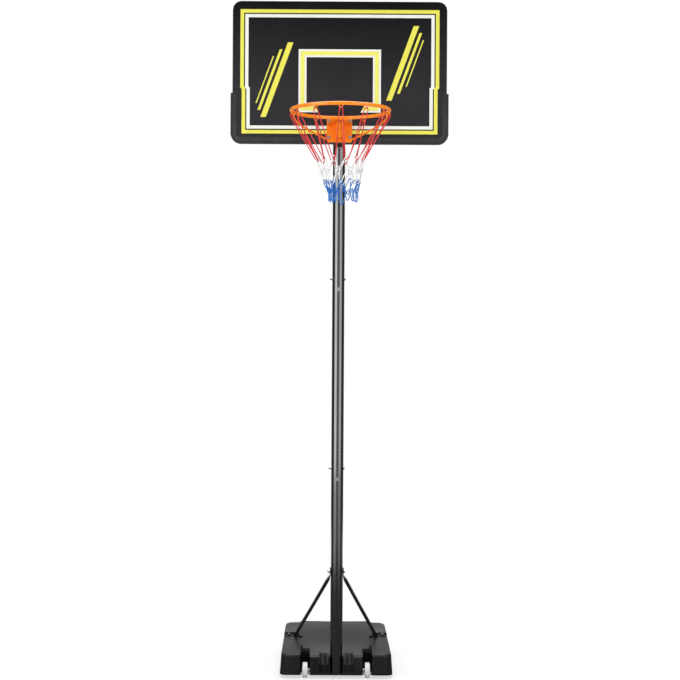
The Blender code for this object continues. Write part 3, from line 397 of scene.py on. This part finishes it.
def makeCord(name, colours, look=cordLook):
    m = startMaterial(name, Specular_IOR_Level=look["specular"], Sheen_Weight=look["sheen"],
                      Sheen_Roughness=look["sheenRoughness"])
    fibre = noise(m, *look["fibres"])
    factor = weighted(m, ranged(m, fibre, look["fibreEdges"]), look["fibreShare"],
                      patches(m, look["patches"]), look["patchShare"])
    rough = ranged(m, fibre, look["roughEdges"], look["roughness"])
    return finished(m, mixed(m, factor, *colours), rough,
                    relief(m, fibre, look["fibreDepth"], look["fibreStrength"]))


materials = {
    "moulded_tank": makeTankPlastic(),
    "black_enamel": makeBlackEnamel(),
    "zinc_steel": makeZincSteel(),
    "board_plastic": makeBoardPlastic(),
    "pad_rubber": makePadRubber(),
    "orange_enamel": makeOrangeEnamel(),
    "wheel_plastic": makeWheelPlastic(),
    "cap_plastic": makeCapPlastic(),
    "cord_red": makeCord("cordRed", cordLook["red"]),
    "cord_white": makeCord("cordWhite", cordLook["white"]),
    "cord_blue": makeCord("cordBlue", cordLook["blue"]),
}
inks = {
    "yellow": makeInk("inkYellow", inkLook["yellow"]),
    "paleYellow": makeInk("inkPaleYellow", inkLook["paleYellow"]),
    "white": makeInk("inkWhite", inkLook["white"]),
}
for part in frame["record"]["subparts"]:
    mesh = nodes[part["node"]].data
    mesh.materials.clear()
    mesh.materials.append(materials[part["material_slot"]])
for node in ("foot_screw_left", "foot_screw_right"):      # these screws get the black enamel in place of zinc
    nodes[node].data.materials[0] = materials["black_enamel"]
print("materials made and given to the CAD nodes")


# helpers for pieces

def addPiece(name, bm, material, body, smoothAngle=35):
    mesh = bpy.data.meshes.new(name)
    bm.to_mesh(mesh)
    bm.free()
    mesh.shade_smooth()
    mesh.set_sharp_from_angle(angle=math.radians(smoothAngle))
    mesh.materials.append(material)
    piece = bpy.data.objects.new(name, mesh)
    bpy.context.scene.collection.objects.link(piece)
    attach(piece, body)
    return piece


def merged(bm):
    bmesh.ops.remove_doubles(bm, verts=bm.verts, dist=weldDistance)
    bmesh.ops.recalc_face_normals(bm, faces=bm.faces)
    return bm


def gathered(parts):
    # several bmeshes in one
    whole = bmesh.new()
    for part in parts:
        mesh = bpy.data.meshes.new("part")
        part.to_mesh(mesh)
        part.free()
        whole.from_mesh(mesh)
        bpy.data.meshes.remove(mesh)
    return whole


def sweep(points, radius=0.0, closed=False, section=None, tilts=None):
    # a bar along points, round or with a section given as (x, y) points
    curve = bpy.data.curves.new("path", "CURVE")
    curve.dimensions = "3D"
    spline = curve.splines.new("POLY")
    spline.points.add(len(points) - 1)
    spline.use_cyclic_u = closed
    for index, place in enumerate(points):
        spline.points[index].co = (*place, 1)
        spline.points[index].tilt = tilts[index] if tilts else 0.0
    carrier = bpy.data.objects.new("path", curve)
    used = [carrier]
    if section:
        profile = bpy.data.curves.new("section", "CURVE")
        profile.dimensions = "2D"
        outline = profile.splines.new("POLY")
        outline.points.add(len(section) - 1)
        outline.use_cyclic_u = True
        for index, (x, y) in enumerate(section):
            outline.points[index].co = (x, y, 0, 1)
        used.append(bpy.data.objects.new("section", profile))
        curve.bevel_mode = "OBJECT"
        curve.bevel_object = used[-1]
    else:
        curve.bevel_depth = radius
        curve.bevel_resolution = 1      # eight sides
    curve.use_fill_caps = not closed
    for item in used:
        bpy.context.scene.collection.objects.link(item)
    shown = carrier.evaluated_get(bpy.context.evaluated_depsgraph_get())
    bm = bmesh.new()
    bm.from_mesh(bpy.data.meshes.new_from_object(shown))
    for item in used:
        bpy.data.objects.remove(item)
    return merged(bm)


def smoothLine(points, steps, closed=False):
    # Catmull-Rom line through points
    count = len(points)
    line = []
    for index in range(count if closed else count - 1):
        if closed:
            a, b, c, d = (points[(index + k - 1) % count] for k in range(4))
        else:
            a, b, c, d = (points[min(max(index + k - 1, 0), count - 1)] for k in range(4))
        for step in range(steps):
            t = step / steps
            line.append(0.5 * ((2 * b) + (c - a) * t + (2 * a - 5 * b + 4 * c - d) * t * t
                               + (3 * b - a - 3 * c + d) * t * t * t))
    if not closed:
        line.append(points[-1])
    return line


def evenly(points, spacing):
    # the same closed line with points at an even spacing, and its length
    line = points + [points[0]]
    lengths = [(b - a).length for a, b in zip(line, line[1:])]
    total = sum(lengths)
    count = int(total / spacing)
    result = []
    segment, passed = 0, 0.0
    for number in range(count):
        target = total * number / count
        while passed + lengths[segment] < target:
            passed += lengths[segment]
            segment += 1
        share = (target - passed) / lengths[segment]
        result.append(line[segment].lerp(line[segment + 1], share))
    return result, total


# board print

printLook = {
    "front": -0.42505,          # just before the panel's face
    "thickness": 0.00012,
    "side": 0.0387, "top": 0.0410, "bottom": 0.0405,   # margins of the outer line
    "yellowWidth": 0.018, "gap": 0.006, "whiteWidth": 0.0165,
    "jog": 0.0078, "jogHeight": 2.970,
    "targetHalfWidth": 0.2065, "targetLow": 2.8545, "targetHigh": 3.171,
    "targetBands": (("white", 0.010), ("paleYellow", 0.020), ("white", 0.010)),
    "bandGap": 0.0001,          # between the bands of the target
    "targetOpening": 0.105,     # half of the gap in the target's lower side, at its bottom
    "openingLean": -0.55,
    "openingHeight": 0.05,      # the lower side lies within this height
}
panelLow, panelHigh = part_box("board_panel")


def flatFace(corners):
    # one flat face in the plane of the board
    bm = bmesh.new()
    bm.faces.new([bm.verts.new((x, 0, z)) for x, z in corners])
    bm.normal_update()
    return bm


def bandOf(bm, width):
    # keeps only a band of this width along the outline of a flat face
    made = bmesh.ops.inset_region(bm, faces=bm.faces[:], thickness=width, use_even_offset=True,
                                  use_boundary=True)
    band = set(made["faces"])
    bmesh.ops.delete(bm, geom=[face for face in bm.faces if face not in band], context="FACES")
    return bm


def ink(bm, look=printLook):
    # gives a flat design its thickness and puts it on the board
    back = bmesh.ops.extrude_face_region(bm, geom=bm.faces[:])
    moved = [item for item in back["geom"] if isinstance(item, bmesh.types.BMVert)]
    bmesh.ops.translate(bm, vec=(0, -look["thickness"], 0), verts=moved)
    bmesh.ops.translate(bm, vec=(0, look["front"], 0), verts=bm.verts[:])
    bmesh.ops.recalc_face_normals(bm, faces=bm.faces[:])
    return bm


def borderCorners(inward, look=printLook):
    # outline of a border line, which steps inwards where the edge pad starts
    wide = panelHigh.x - look["side"] - inward
    narrow = wide - look["jog"]
    low = panelLow.z + look["bottom"] + inward
    high = panelHigh.z - look["top"] - inward
    step = look["jogHeight"]
    return [(-narrow, low), (narrow, low), (narrow, step), (wide, step + look["jog"]), (wide, high),
            (-wide, high), (-wide, step + look["jog"]), (-narrow, step)]


def makeBorders(look=printLook):
    outer = bandOf(flatFace(borderCorners(0.0)), look["yellowWidth"])
    inset = look["yellowWidth"] + look["gap"]
    inner = bandOf(flatFace(borderCorners(inset)), look["whiteWidth"])
    addPiece("print_border_yellow", ink(outer), inks["yellow"], "board_unit")
    addPiece("print_border_white", ink(inner), inks["white"], "board_unit")


def openedBelow(bm, look=printLook):
    # the target's lower side stops at two slanting ends, left and right of the ring
    low, half = look["targetLow"], look["targetOpening"]
    for side in (-1, 1):
        bmesh.ops.bisect_plane(bm, geom=bm.verts[:] + bm.edges[:] + bm.faces[:], dist=weldDistance,
                               plane_co=(side * half, 0, low), plane_no=(side, 0, look["openingLean"]))
    middles = ((face, face.calc_center_median()) for face in bm.faces)
    opening = [face for face, middle in middles
               if middle.z < low + look["openingHeight"] and abs(middle.x) < half]
    bmesh.ops.delete(bm, geom=opening, context="FACES")
    return bm


def makeTarget(look=printLook):
    half, low, high = look["targetHalfWidth"], look["targetLow"], look["targetHigh"]
    inward = 0.0
    for number, (colour, width) in enumerate(look["targetBands"]):
        corners = [(-half + inward, low + inward), (half - inward, low + inward),
                   (half - inward, high - inward), (-half + inward, high - inward)]
        band = openedBelow(bandOf(flatFace(corners), width - look["bandGap"]))
        addPiece(f"print_target_{number + 1}", ink(band), inks[colour], "board_unit")
        inward += width


artLook = {
    # slanting bars, cut level at both ends: middle x, lower z, upper z, width across
    "bars": ((0.315, 2.915, 3.290, 0.026), (0.350, 2.950, 3.255, 0.013), (0.376, 2.985, 3.220, 0.006)),
    "lean": 20,                 # degrees from upright, to the right
    "turnHeight": 3.060,        # the left group is the right group turned round this height
}


def makeArtwork(look=artLook):
    lean = math.radians(look["lean"])
    parts = []
    for x, low, high, width in look["bars"]:
        half = width / 2 / math.cos(lean)
        reach = math.tan(lean) * (high - low) / 2
        corners = [(x - reach - half, low), (x - reach + half, low), (x + reach + half, high),
                   (x + reach - half, high)]
        parts.append(flatFace(corners))
        parts.append(flatFace([(-cornerX, 2 * look["turnHeight"] - z) for cornerX, z in corners]))
    addPiece("print_bars", ink(gathered(parts)), inks["yellow"], "board_unit")


makeBorders()
makeTarget()
makeArtwork()
print("board print made")


# edge pad: a rubber channel round the lower half of the board, in the place of its CAD node

padLook = {
    "corner": 0.043,            # radius of the board's corners
    "cornerSteps": 14,
    "endRounding": 0.0012,
    "rearOpening": 0.081, "frontOpening": 0.0655,      # half widths, free for the channel and the bracket
    "smoothAngle": 40,
    # sections as (outwards from the board's edge, y)
    "frontLip": ((0.0003, -0.4253), (-0.0246, -0.4253), (-0.0250, -0.4258), (-0.0246, -0.4272),
                 (-0.0230, -0.4281), (-0.0200, -0.4283), (-0.0040, -0.4283), (-0.0022, -0.4277),
                 (-0.0010, -0.4264), (0.0006, -0.4264), (0.0018, -0.4277), (0.0036, -0.4283),
                 (0.0060, -0.4282), (0.0078, -0.4275), (0.0089, -0.4260), (0.0093, -0.4238)),
    "frontEdge": ((0.0003, -0.4247), (0.0066, -0.4247), (0.0086, -0.4240), (0.0093, -0.4222)),
    "rearLip": ((0.0093, -0.3962), (0.0089, -0.3940), (0.0078, -0.3925), (0.0058, -0.3917),
                (-0.0200, -0.3917), (-0.0230, -0.3919), (-0.0246, -0.3928), (-0.0250, -0.3942),
                (-0.0246, -0.3947), (0.0003, -0.3947)),
    "rearEdge": ((0.0093, -0.3962), (0.0089, -0.3940), (0.0078, -0.3925), (0.0058, -0.3917),
                 (-0.0004, -0.3917), (-0.0010, -0.3923), (-0.0010, -0.3947), (0.0003, -0.3947)),
}
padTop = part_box("edge_pad")[1].z


def pushed(bm, face, offset):
    # extrudes a face by an offset and returns the face at the new end
    made = bmesh.ops.extrude_face_region(bm, geom=[face])
    moved = [item for item in made["geom"] if isinstance(item, bmesh.types.BMVert)]
    bmesh.ops.translate(bm, vec=offset, verts=moved)
    return next(item for item in made["geom"] if isinstance(item, bmesh.types.BMFace))


def padSide(look=padLook):
    # down the left side, round the corner and along the bottom
    section = look["frontLip"] + look["rearLip"]
    bm = bmesh.new()
    start = bm.faces.new([bm.verts.new((-panelHigh.x - out, y, padTop)) for out, y in section])
    turnPlace = Vector((-panelHigh.x + look["corner"], 0, panelLow.z + look["corner"]))
    end = pushed(bm, start, (0, 0, turnPlace.z - padTop))
    made = bmesh.ops.spin(bm, geom=[end] + list(end.edges) + list(end.verts), cent=turnPlace,
                          axis=(0, 1, 0), angle=-math.radians(90), steps=look["cornerSteps"])
    end = next(item for item in made["geom_last"] if isinstance(item, bmesh.types.BMFace))
    pushed(bm, end, (-look["rearOpening"] - turnPlace.x, 0, 0))
    merged(bm)
    inside = [face for face in bm.faces if all(len(edge.link_faces) > 2 for edge in face.edges)]
    bmesh.ops.delete(bm, geom=inside, context="FACES_ONLY")      # the face that the second push left behind
    bmesh.ops.recalc_face_normals(bm, faces=bm.faces[:])
    rim = [edge for edge in bm.edges if all(abs(vert.co.z - padTop) < weldDistance for vert in edge.verts)]
    bmesh.ops.bevel(bm, geom=rim, offset=look["endRounding"], segments=2, profile=0.5, affect="EDGES",
                    material=-1)
    return bm


def padPiece(section, fromX, toX):
    # a straight stretch along the bottom
    bm = bmesh.new()
    face = bm.faces.new([bm.verts.new((fromX, y, panelLow.z - out)) for out, y in section])
    pushed(bm, face, (toX - fromX, 0, 0))
    return merged(bm)


def makeEdgePad(look=padLook):
    left = padSide()
    right = left.copy()
    bmesh.ops.scale(right, vec=(-1, 1, 1), verts=right.verts[:])
    bmesh.ops.recalc_face_normals(right, faces=right.faces[:])
    rear, front = look["rearOpening"], look["frontOpening"]
    parts = [left, right, padPiece(look["frontLip"] + look["rearEdge"], -rear, -front),
             padPiece(look["frontLip"] + look["rearEdge"], front, rear),
             padPiece(look["frontEdge"] + look["rearEdge"], -front, front)]
    pad = addPiece("edge_pad_rubber", gathered(parts), materials["pad_rubber"], "board_unit",
                   look["smoothAngle"])
    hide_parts("edge_pad")


makeEdgePad()
print("edge pad made")


# ring with its hooks

ringLook = {
    "centre": (0.0, -0.795), "height": 2.808, "radius": 0.2335, "rod": 0.0085,
    "rodSides": 20, "steps": 144, "smoothAngle": 50,
    "hooks": 12, "wire": 0.0018, "hookDrop": 0.021,
    "hookBend": ((0.0042, 0.0016), (0.0068, 0.0062)),          # across and up from the hook's lowest point
    "hookTop": 0.0045,          # the wire's ends lie this far below the middle of the rod
    "hookHalfWidth": 0.014, "slotHookHalfWidth": 0.0083,       # the hook in the bracket's slot is narrower
    "hookSteps": 4,
}


def aroundRing(angle, radius, z, look=ringLook):
    # a point about the ring's axis; angle 0 is the side of the bracket
    return Vector((radius * math.sin(angle), look["centre"][1] + radius * math.cos(angle), z))


def makeHook(angle, halfWidth, look=ringLook):
    # wire bent to a V under the ring
    low = look["height"] - look["hookDrop"]
    rightHalf = [(across, low + up) for across, up in look["hookBend"]]
    rightHalf.append((halfWidth, look["height"] - look["hookTop"]))
    profile = [(-across, z) for across, z in reversed(rightHalf)] + [(0.0, low)] + rightHalf
    line = [aroundRing(angle + across / look["radius"], look["radius"], z) for across, z in profile]
    return sweep(smoothLine(line, look["hookSteps"]), look["wire"])


def makeRing(look=ringLook):
    bm = bmesh.new()
    section = bmesh.ops.create_circle(bm, segments=look["rodSides"], radius=look["rod"])["verts"]
    upright = Matrix.Rotation(math.radians(90), 3, "X")
    bmesh.ops.rotate(bm, cent=(0, 0, 0), matrix=upright, verts=section)
    bmesh.ops.translate(bm, vec=(look["radius"], 0, 0), verts=section)
    bmesh.ops.spin(bm, geom=bm.verts[:] + bm.edges[:], cent=(0, 0, 0), axis=(0, 0, 1), angle=math.tau,
                   steps=look["steps"], use_merge=True)
    bmesh.ops.translate(bm, vec=(*look["centre"], look["height"]), verts=bm.verts[:])
    parts = [merged(bm), makeHook(0.0, look["slotHookHalfWidth"])]
    parts += [makeHook(math.tau * number / look["hooks"], look["hookHalfWidth"])
              for number in range(1, look["hooks"])]
    ring = addPiece("ring_with_hooks", gathered(parts), materials["orange_enamel"], "board_unit",
                    look["smoothAngle"])
    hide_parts("rim_ring")


makeRing()
print("ring made")


# net

netLook = {
    "rows": (2.573, 2.522, 2.468, 2.424, 2.384),       # heights of the loops of the five rows
    "radii": (0.113, 0.104, 0.094, 0.083, 0.078),
    "overrun": 1.2,            # the net's slope ends at this share of the lowest row's height
    "nodes": ("net_red", "net_white_upper", "net_white_lower", "net_blue_upper", "net_blue_lower"),
    "colours": ("red", "white", "white", "blue", "blue"),
    "cord": 0.0025,            # radius
    "strands": 3, "sectionPoints": 12,
    "strandShape": (0.90, 0.12),      # middle and swing of the section, as shares of the radius
    "loopHalfWidth": 0.007, "loopHalfHeight": 0.009, "crossGap": 0.0026,
    "hookGap": 0.0006,
    "hookTurn": ((0.0075, 0.0100), (0.0018, 0.0012)),  # across and down from the top of a turn in a hook
    "middleMargin": 0.01,      # hooks this near to the middle are taken as on the right
    "twistPitch": 0.014,       # one turn of the strands
    "legStep": 0.010, "lineSteps": 6, "pointSpacing": 0.0016,
    "legSag": 0.010,           # the long upper legs bow by this share of their length
    "slopeStep": 0.004,        # the net's slope is taken over this height up and down
    "smoothAngle": 60,
    "seed": 7,
    "wander": (0.0, 0.003, 0.004, 0.004, 0.004, 0.005),  # how far the crossings of each level stray
    "wanderDown": 0.8,         # share of it that goes up or down
    "settling": (2.600, 2.400),                        # from here down the net hangs out of shape
    "gather": 0.55,            # how much the meshes crowd together at the front left
    "gatherPlace": 2.2,        # radians from the bracket round to the left
    "narrowing": 0.14,
    "drift": 0.015,            # the lower end hangs this far to the right
    "crumple": 0.004,
    "crumpleAround": (5, 60),  # waves round the net, and radians per metre of height
    "crumpleUp": (3, 1.2),     # waves round the net, and where they start
}


def netRadius(z):
    # the net's radius at a height, before it settles
    levels = (ringLook["height"] - ringLook["hookDrop"],) + netLook["rows"]
    radii = (ringLook["radius"],) + netLook["radii"]
    upper = next((number for number in range(len(levels) - 2) if z >= levels[number + 1]), len(levels) - 2)
    share = (levels[upper] - z) / (levels[upper] - levels[upper + 1])
    return radii[upper] + (radii[upper + 1] - radii[upper]) * min(max(share, 0.0), netLook["overrun"])


def strayTable(look=netLook):
    # for each level and column, how far the crossing there strays round and down
    chance = random.Random(look["seed"])
    table = []
    for amount in look["wander"]:
        table.append([(chance.uniform(-1, 1) * amount, chance.uniform(-1, 1) * amount * look["wanderDown"])
                      for _ in range(ringLook["hooks"])])
    return table


def loopTurn(angle, z, upright, linked, stray, look=netLook):
    # one turn of the cord, at the bottom of a loop where upright is 1 and at its top where it is -1;
    # linked turns cross the next row's turn, one leg outside and one inside
    side = look["cord"] + look["crossGap"] / 2 if linked else 0.0
    step = look["slopeStep"]
    lean = math.atan((netRadius(z + step) - netRadius(z - step)) / (2 * step))
    around = angle + stray[0] / netRadius(z)
    points = []
    for across, rise, out in ((-look["loopHalfWidth"], 0.0, side), (0.0, -look["loopHalfHeight"], 0.0),
                              (look["loopHalfWidth"], 0.0, -side)):
        level = z + stray[1] + rise * upright
        radius = netRadius(z + rise * upright) + out * upright * math.cos(lean)
        points.append(aroundRing(around + across / netRadius(z), radius,
                                 level - out * upright * math.sin(lean)))
    return points


def hookTurn(angle, look=netLook):
    # one leg goes outside the wire of the hook and one inside, the other way round on the left
    side = ringLook["wire"] + look["cord"] + look["hookGap"]
    top = ringLook["height"] - ringLook["hookDrop"] + side
    outer = 1.0 if math.sin(angle) > -look["middleMargin"] else -1.0
    profile = [(-across, drop, outer) for across, drop in look["hookTurn"]] + [(0.0, 0.0, 0.0)]
    profile += [(across, drop, -outer) for across, drop in reversed(look["hookTurn"])]
    return [aroundRing(angle + across / ringLook["radius"], ringLook["radius"] + out * side, top - drop)
            for across, drop, out in profile]


def leg(start, end, look=netLook):
    # points between two turns of the cord, with a slight bow
    length = (end - start).length
    count = max(int(length / look["legStep"]), 2)
    points = []
    for step in range(1, count):
        share = step / count
        place = start.lerp(end, share)
        place.z -= 4 * share * (1 - share) * look["legSag"] * length
        points.append(place)
    return points


def netRow(number, stray, look=netLook):
    spacing = math.tau / ringLook["hooks"]
    last = number == len(look["rows"]) - 1
    turns = []
    for column in range(ringLook["hooks"]):
        upper = spacing * (column + number / 2)
        lower = upper + spacing / 2
        if number == 0:
            turns.append(hookTurn(upper))
        else:
            turns.append(loopTurn(upper, look["rows"][number - 1], -1, True, stray[number][column]))
        turns.append(loopTurn(lower, look["rows"][number], 1, not last, stray[number + 1][column]))
    line = []
    for turn, following in zip(turns, turns[1:] + turns[:1]):
        line += turn
        line += leg(turn[-1], following[0])
    return line


def settled(place, look=netLook):
    # the lower net crowds together at the front left, drifts to the right and crumples a little
    high, low = look["settling"]
    share = min(max((high - place.z) / (high - low), 0.0), 1.0)
    share = share * share * (3 - 2 * share)      # eased at both ends
    across = Vector((place.x, place.y - ringLook["centre"][1]))
    radius, angle = across.length, math.atan2(place.x, across.y)
    angle -= look["gather"] * share * math.sin(angle + look["gatherPlace"])
    radius *= 1 - look["narrowing"] * share
    waves, perMetre = look["crumpleAround"]
    radius += look["crumple"] * share * math.sin(waves * angle + perMetre * place.z)
    waves, start = look["crumpleUp"]
    moved = aroundRing(angle, radius, place.z + look["crumple"] * share * math.sin(waves * angle - start))
    moved.x += look["drift"] * share
    return moved


def laidSection(look=netLook):
    # section of a laid cord: strands with shallow grooves between them
    middle, swing = look["strandShape"]
    points = []
    for step in range(look["sectionPoints"]):
        angle = math.tau * step / look["sectionPoints"]
        reach = look["cord"] * (middle + swing * math.cos(look["strands"] * angle))
        points.append((reach * math.cos(angle), reach * math.sin(angle)))
    return points


def makeNet(look=netLook):
    stray = strayTable()
    for number, (node, colour) in enumerate(zip(look["nodes"], look["colours"])):
        line = [settled(place) for place in smoothLine(netRow(number, stray), look["lineSteps"], True)]
        points, total = evenly(line, look["pointSpacing"])
        turns = round(total / look["twistPitch"])
        tilts = [math.tau * turns * index / len(points) for index in range(len(points))]
        bm = sweep(points, closed=True, section=laidSection(), tilts=tilts)
        piece = addPiece(f"cord_{node}", bm, materials[f"cord_{colour}"], "board_unit",
                         look["smoothAngle"])
        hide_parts(node)
        print(f"  {node}: {total:.2f} m of cord, {len(piece.data.polygons)} faces")


makeNet()
print("net made")


# camera, studio and lamps

studioLook = {
    "cameraPlace": (-0.080, -7.715, 1.760),
    "cameraRoll": 0.33,         # degrees
    "cameraShift": (0.0260, -0.01367),
    "lens": 76.98, "sensor": 36,
    "ambient": 0.40,            # light from all round
    "darkStudio": 0.10,         # what polished black shows beside and behind the camera
    # the world's brighter parts end between two values of a direction's y or z, which runs from -1 to 1
    "backdropY": (0.90, 0.985),
    "skyGlow": 0.55, "skyY": (0.3, 0.8), "skyZ": (0.12, 0.24),              # above the backdrop
    "frontGlow": 0.40, "glowY": (-0.95, -0.75), "glowZ": (0.08, 0.28),      # round the camera
    # soft lamps: name, place, aim, width, height, watts, in reflections too
    "lamps": (
        ("softLeft", (-2.30, -2.70, 2.1), (0, -0.335, 1.6), 1.8, 3.0, 54, False),
        ("softRight", (2.10, -3.00, 2.1), (0, -0.335, 1.6), 1.8, 3.0, 46, False),
        ("softFront", (0.0, -5.60, 0.9), (0, -0.5, 2.4), 2.6, 1.2, 50, False),
        ("topSoft", (0.0, 0.6, 5.4), (0, 0.0, 0.0), 3.4, 2.6, 190, True),
    ),
    # cards that only polished pieces see: name, degrees from the camera, low and high edge, radiance
    "cards": (
        ("cardLeftHigh", -46, 0.75, 3.70, 3.6), ("cardLeftLow", -46, 0.10, 0.74, 1.3),
        ("cardRightHigh", 42, 0.75, 3.70, 2.4), ("cardRightLow", 42, 0.10, 0.74, 0.9),
    ),
    "cardDistance": 2.8, "cardWidth": 1.9,
    "poleSetback": 0.031,       # from the pole's front to its middle, round which the cards stand
}


def makeCamera(look=studioLook):
    camera = bpy.data.objects.new("camera", bpy.data.cameras.new("camera"))
    camera.data.sensor_width = look["sensor"]
    camera.data.lens = look["lens"]
    camera.data.shift_x, camera.data.shift_y = look["cameraShift"]
    camera.location = look["cameraPlace"]
    camera.rotation_euler = (Matrix.Rotation(math.radians(90), 3, "X")
                             @ Matrix.Rotation(math.radians(look["cameraRoll"]), 3, "Z")).to_euler()
    bpy.context.scene.collection.objects.link(camera)
    bpy.context.scene.camera = camera


def addLamp(name, place, aim, width, tall, watts):
    light = bpy.data.lights.new(name, "AREA")
    light.shape = "RECTANGLE"
    light.size = width
    light.size_y = tall
    light.energy = watts
    lamp = bpy.data.objects.new(name, light)
    lamp.location = place
    lamp.rotation_euler = (Vector(aim) - Vector(place)).to_track_quat("-Z", "Y").to_euler()
    lamp.visible_camera = False
    bpy.context.scene.collection.objects.link(lamp)
    return lamp


def makeLamps(look=studioLook):
    for name, place, aim, width, tall, watts, polished in look["lamps"]:
        addLamp(name, place, aim, width, tall, watts).visible_glossy = polished
    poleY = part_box("lower_pole")[0].y + look["poleSetback"]
    distance, width = look["cardDistance"], look["cardWidth"]
    for name, degrees, low, high, radiance in look["cards"]:
        angle = math.radians(degrees)
        middle = (low + high) / 2
        place = (distance * math.sin(angle), poleY - distance * math.cos(angle), middle)
        watts = radiance * math.pi * width * (high - low)
        addLamp(name, place, (0, poleY, middle), width, high - low, watts).visible_diffuse = False


def seenPolished(tree):
    # 1 for a ray that a polished or clear piece sends out
    path = addNode(tree, "ShaderNodeLightPath")
    return maths(tree, "MAXIMUM", path.outputs["Is Glossy Ray"], path.outputs["Is Transmission Ray"])


def makeWorld(look=studioLook):
    world = bpy.data.worlds.new("studio")
    bpy.context.scene.world = world
    world.use_nodes = True
    direction = addNode(world, "ShaderNodeSeparateXYZ")
    join(world, addNode(world, "ShaderNodeTexCoord").outputs["Generated"], direction.inputs["Vector"])
    y, z = direction.outputs["Y"], direction.outputs["Z"]
    level = ranged(world, y, look["backdropY"], (look["darkStudio"], 1.0))
    above = maths(world, "MULTIPLY", ranged(world, y, look["skyY"]),
                  ranged(world, z, look["skyZ"], (0.0, look["skyGlow"])))
    backdrop = maths(world, "MAXIMUM", level, above)
    glow = maths(world, "MULTIPLY", ranged(world, y, look["glowY"], (1.0, 0.0)),
                 ranged(world, z, look["glowZ"], (look["frontGlow"], 0.0)))
    lit = between(world, seenPolished(world), look["ambient"], maths(world, "ADD", backdrop, glow))
    camera = addNode(world, "ShaderNodeLightPath").outputs["Is Camera Ray"]
    background = world.node_tree.nodes["Background"]
    background.inputs["Color"].default_value = (1, 1, 1, 1)
    join(world, between(world, camera, lit, 1.0), background.inputs["Strength"])      # the camera sees white


floorLook = {
    "size": 9.0, "roughness": 0.9,
    "footprint": (0.262, 0.270, 0.0),          # half sizes of the floor under the stand, where a painted shadow keeps it dark
    "paintedShadowFade": (0.0, 0.018),
    "seen": (0.92, 0.92, 0.92), "bounce": (0.55, 0.55, 0.55), "polished": (0.09, 0.09, 0.09),
    "ownWhite": 0.60,           # share of plain white beside the stand
    "fade": (0.40, 1.3),        # from here the floor goes over into the white backdrop
    "polishedFade": (2.0, 3.2), "polishedBehind": (0.5, 1.5),      # the same as polished pieces see it
}


def distanceFromStand(m, look=floorLook):
    # how far a place on the floor lies outside the footprint
    folded = addNode(m, "ShaderNodeVectorMath", operation="ABSOLUTE")
    beyond = addNode(m, "ShaderNodeVectorMath", operation="SUBTRACT")
    beyond.inputs[1].default_value = look["footprint"]
    outside = addNode(m, "ShaderNodeVectorMath", operation="MAXIMUM")
    reach = addNode(m, "ShaderNodeVectorMath", operation="LENGTH")
    join(m, placed(m), folded.inputs[0])
    for upper, lower in ((folded, beyond), (beyond, outside), (outside, reach)):
        join(m, upper.outputs[0], lower.inputs[0])
    return reach.outputs["Value"]


def makePaleFloor(look=floorLook):
    m = startMaterial("paleFloor", Roughness=look["roughness"], Specular_IOR_Level=0.0)
    seen = addNode(m, "ShaderNodeLightPath").outputs["Is Camera Ray"]
    polished = seenPolished(m)
    reach = distanceFromStand(m)
    # painted shadow: under the stand the camera sees the dim bounce colour and no own white
    outsidePaintedShadow = ranged(m, reach, look["paintedShadowFade"])
    bounced = mixed(m, polished, look["bounce"], look["polished"])
    colour = mixed(m, maths(m, "MULTIPLY", seen, outsidePaintedShadow), bounced, look["seen"])
    join(m, colour, shaderOf(m).inputs["Base Color"])
    fade = maths(m, "ADD", maths(m, "MULTIPLY", outsidePaintedShadow, look["ownWhite"]),
                 ranged(m, reach, look["fade"], (0.0, 1 - look["ownWhite"])))
    far = maths(m, "MULTIPLY", ranged(m, reach, look["polishedFade"]),
                ranged(m, along(m, "Y"), look["polishedBehind"]))
    share = maths(m, "ADD", maths(m, "MULTIPLY", seen, fade), maths(m, "MULTIPLY", polished, far))
    mix = addNode(m, "ShaderNodeMixShader")
    join(m, share, mix.inputs[0])
    join(m, shaderOf(m).outputs[0], mix.inputs[1])
    join(m, addNode(m, "ShaderNodeEmission").outputs[0], mix.inputs[2])
    join(m, mix.outputs[0], m.node_tree.nodes["Material Output"].inputs["Surface"])
    return m


def makeFloor(look=floorLook):
    bm = bmesh.new()
    bmesh.ops.create_grid(bm, x_segments=1, y_segments=1, size=look["size"] / 2)
    mesh = bpy.data.meshes.new("floor")
    bm.to_mesh(mesh)
    bm.free()
    floor = bpy.data.objects.new("floor", mesh)
    bpy.context.scene.collection.objects.link(floor)
    mesh.materials.append(makePaleFloor())


makeCamera()
makeLamps()
makeWorld()
makeFloor()
bpy.context.scene.view_settings.view_transform = "Standard"
print("camera and studio set")
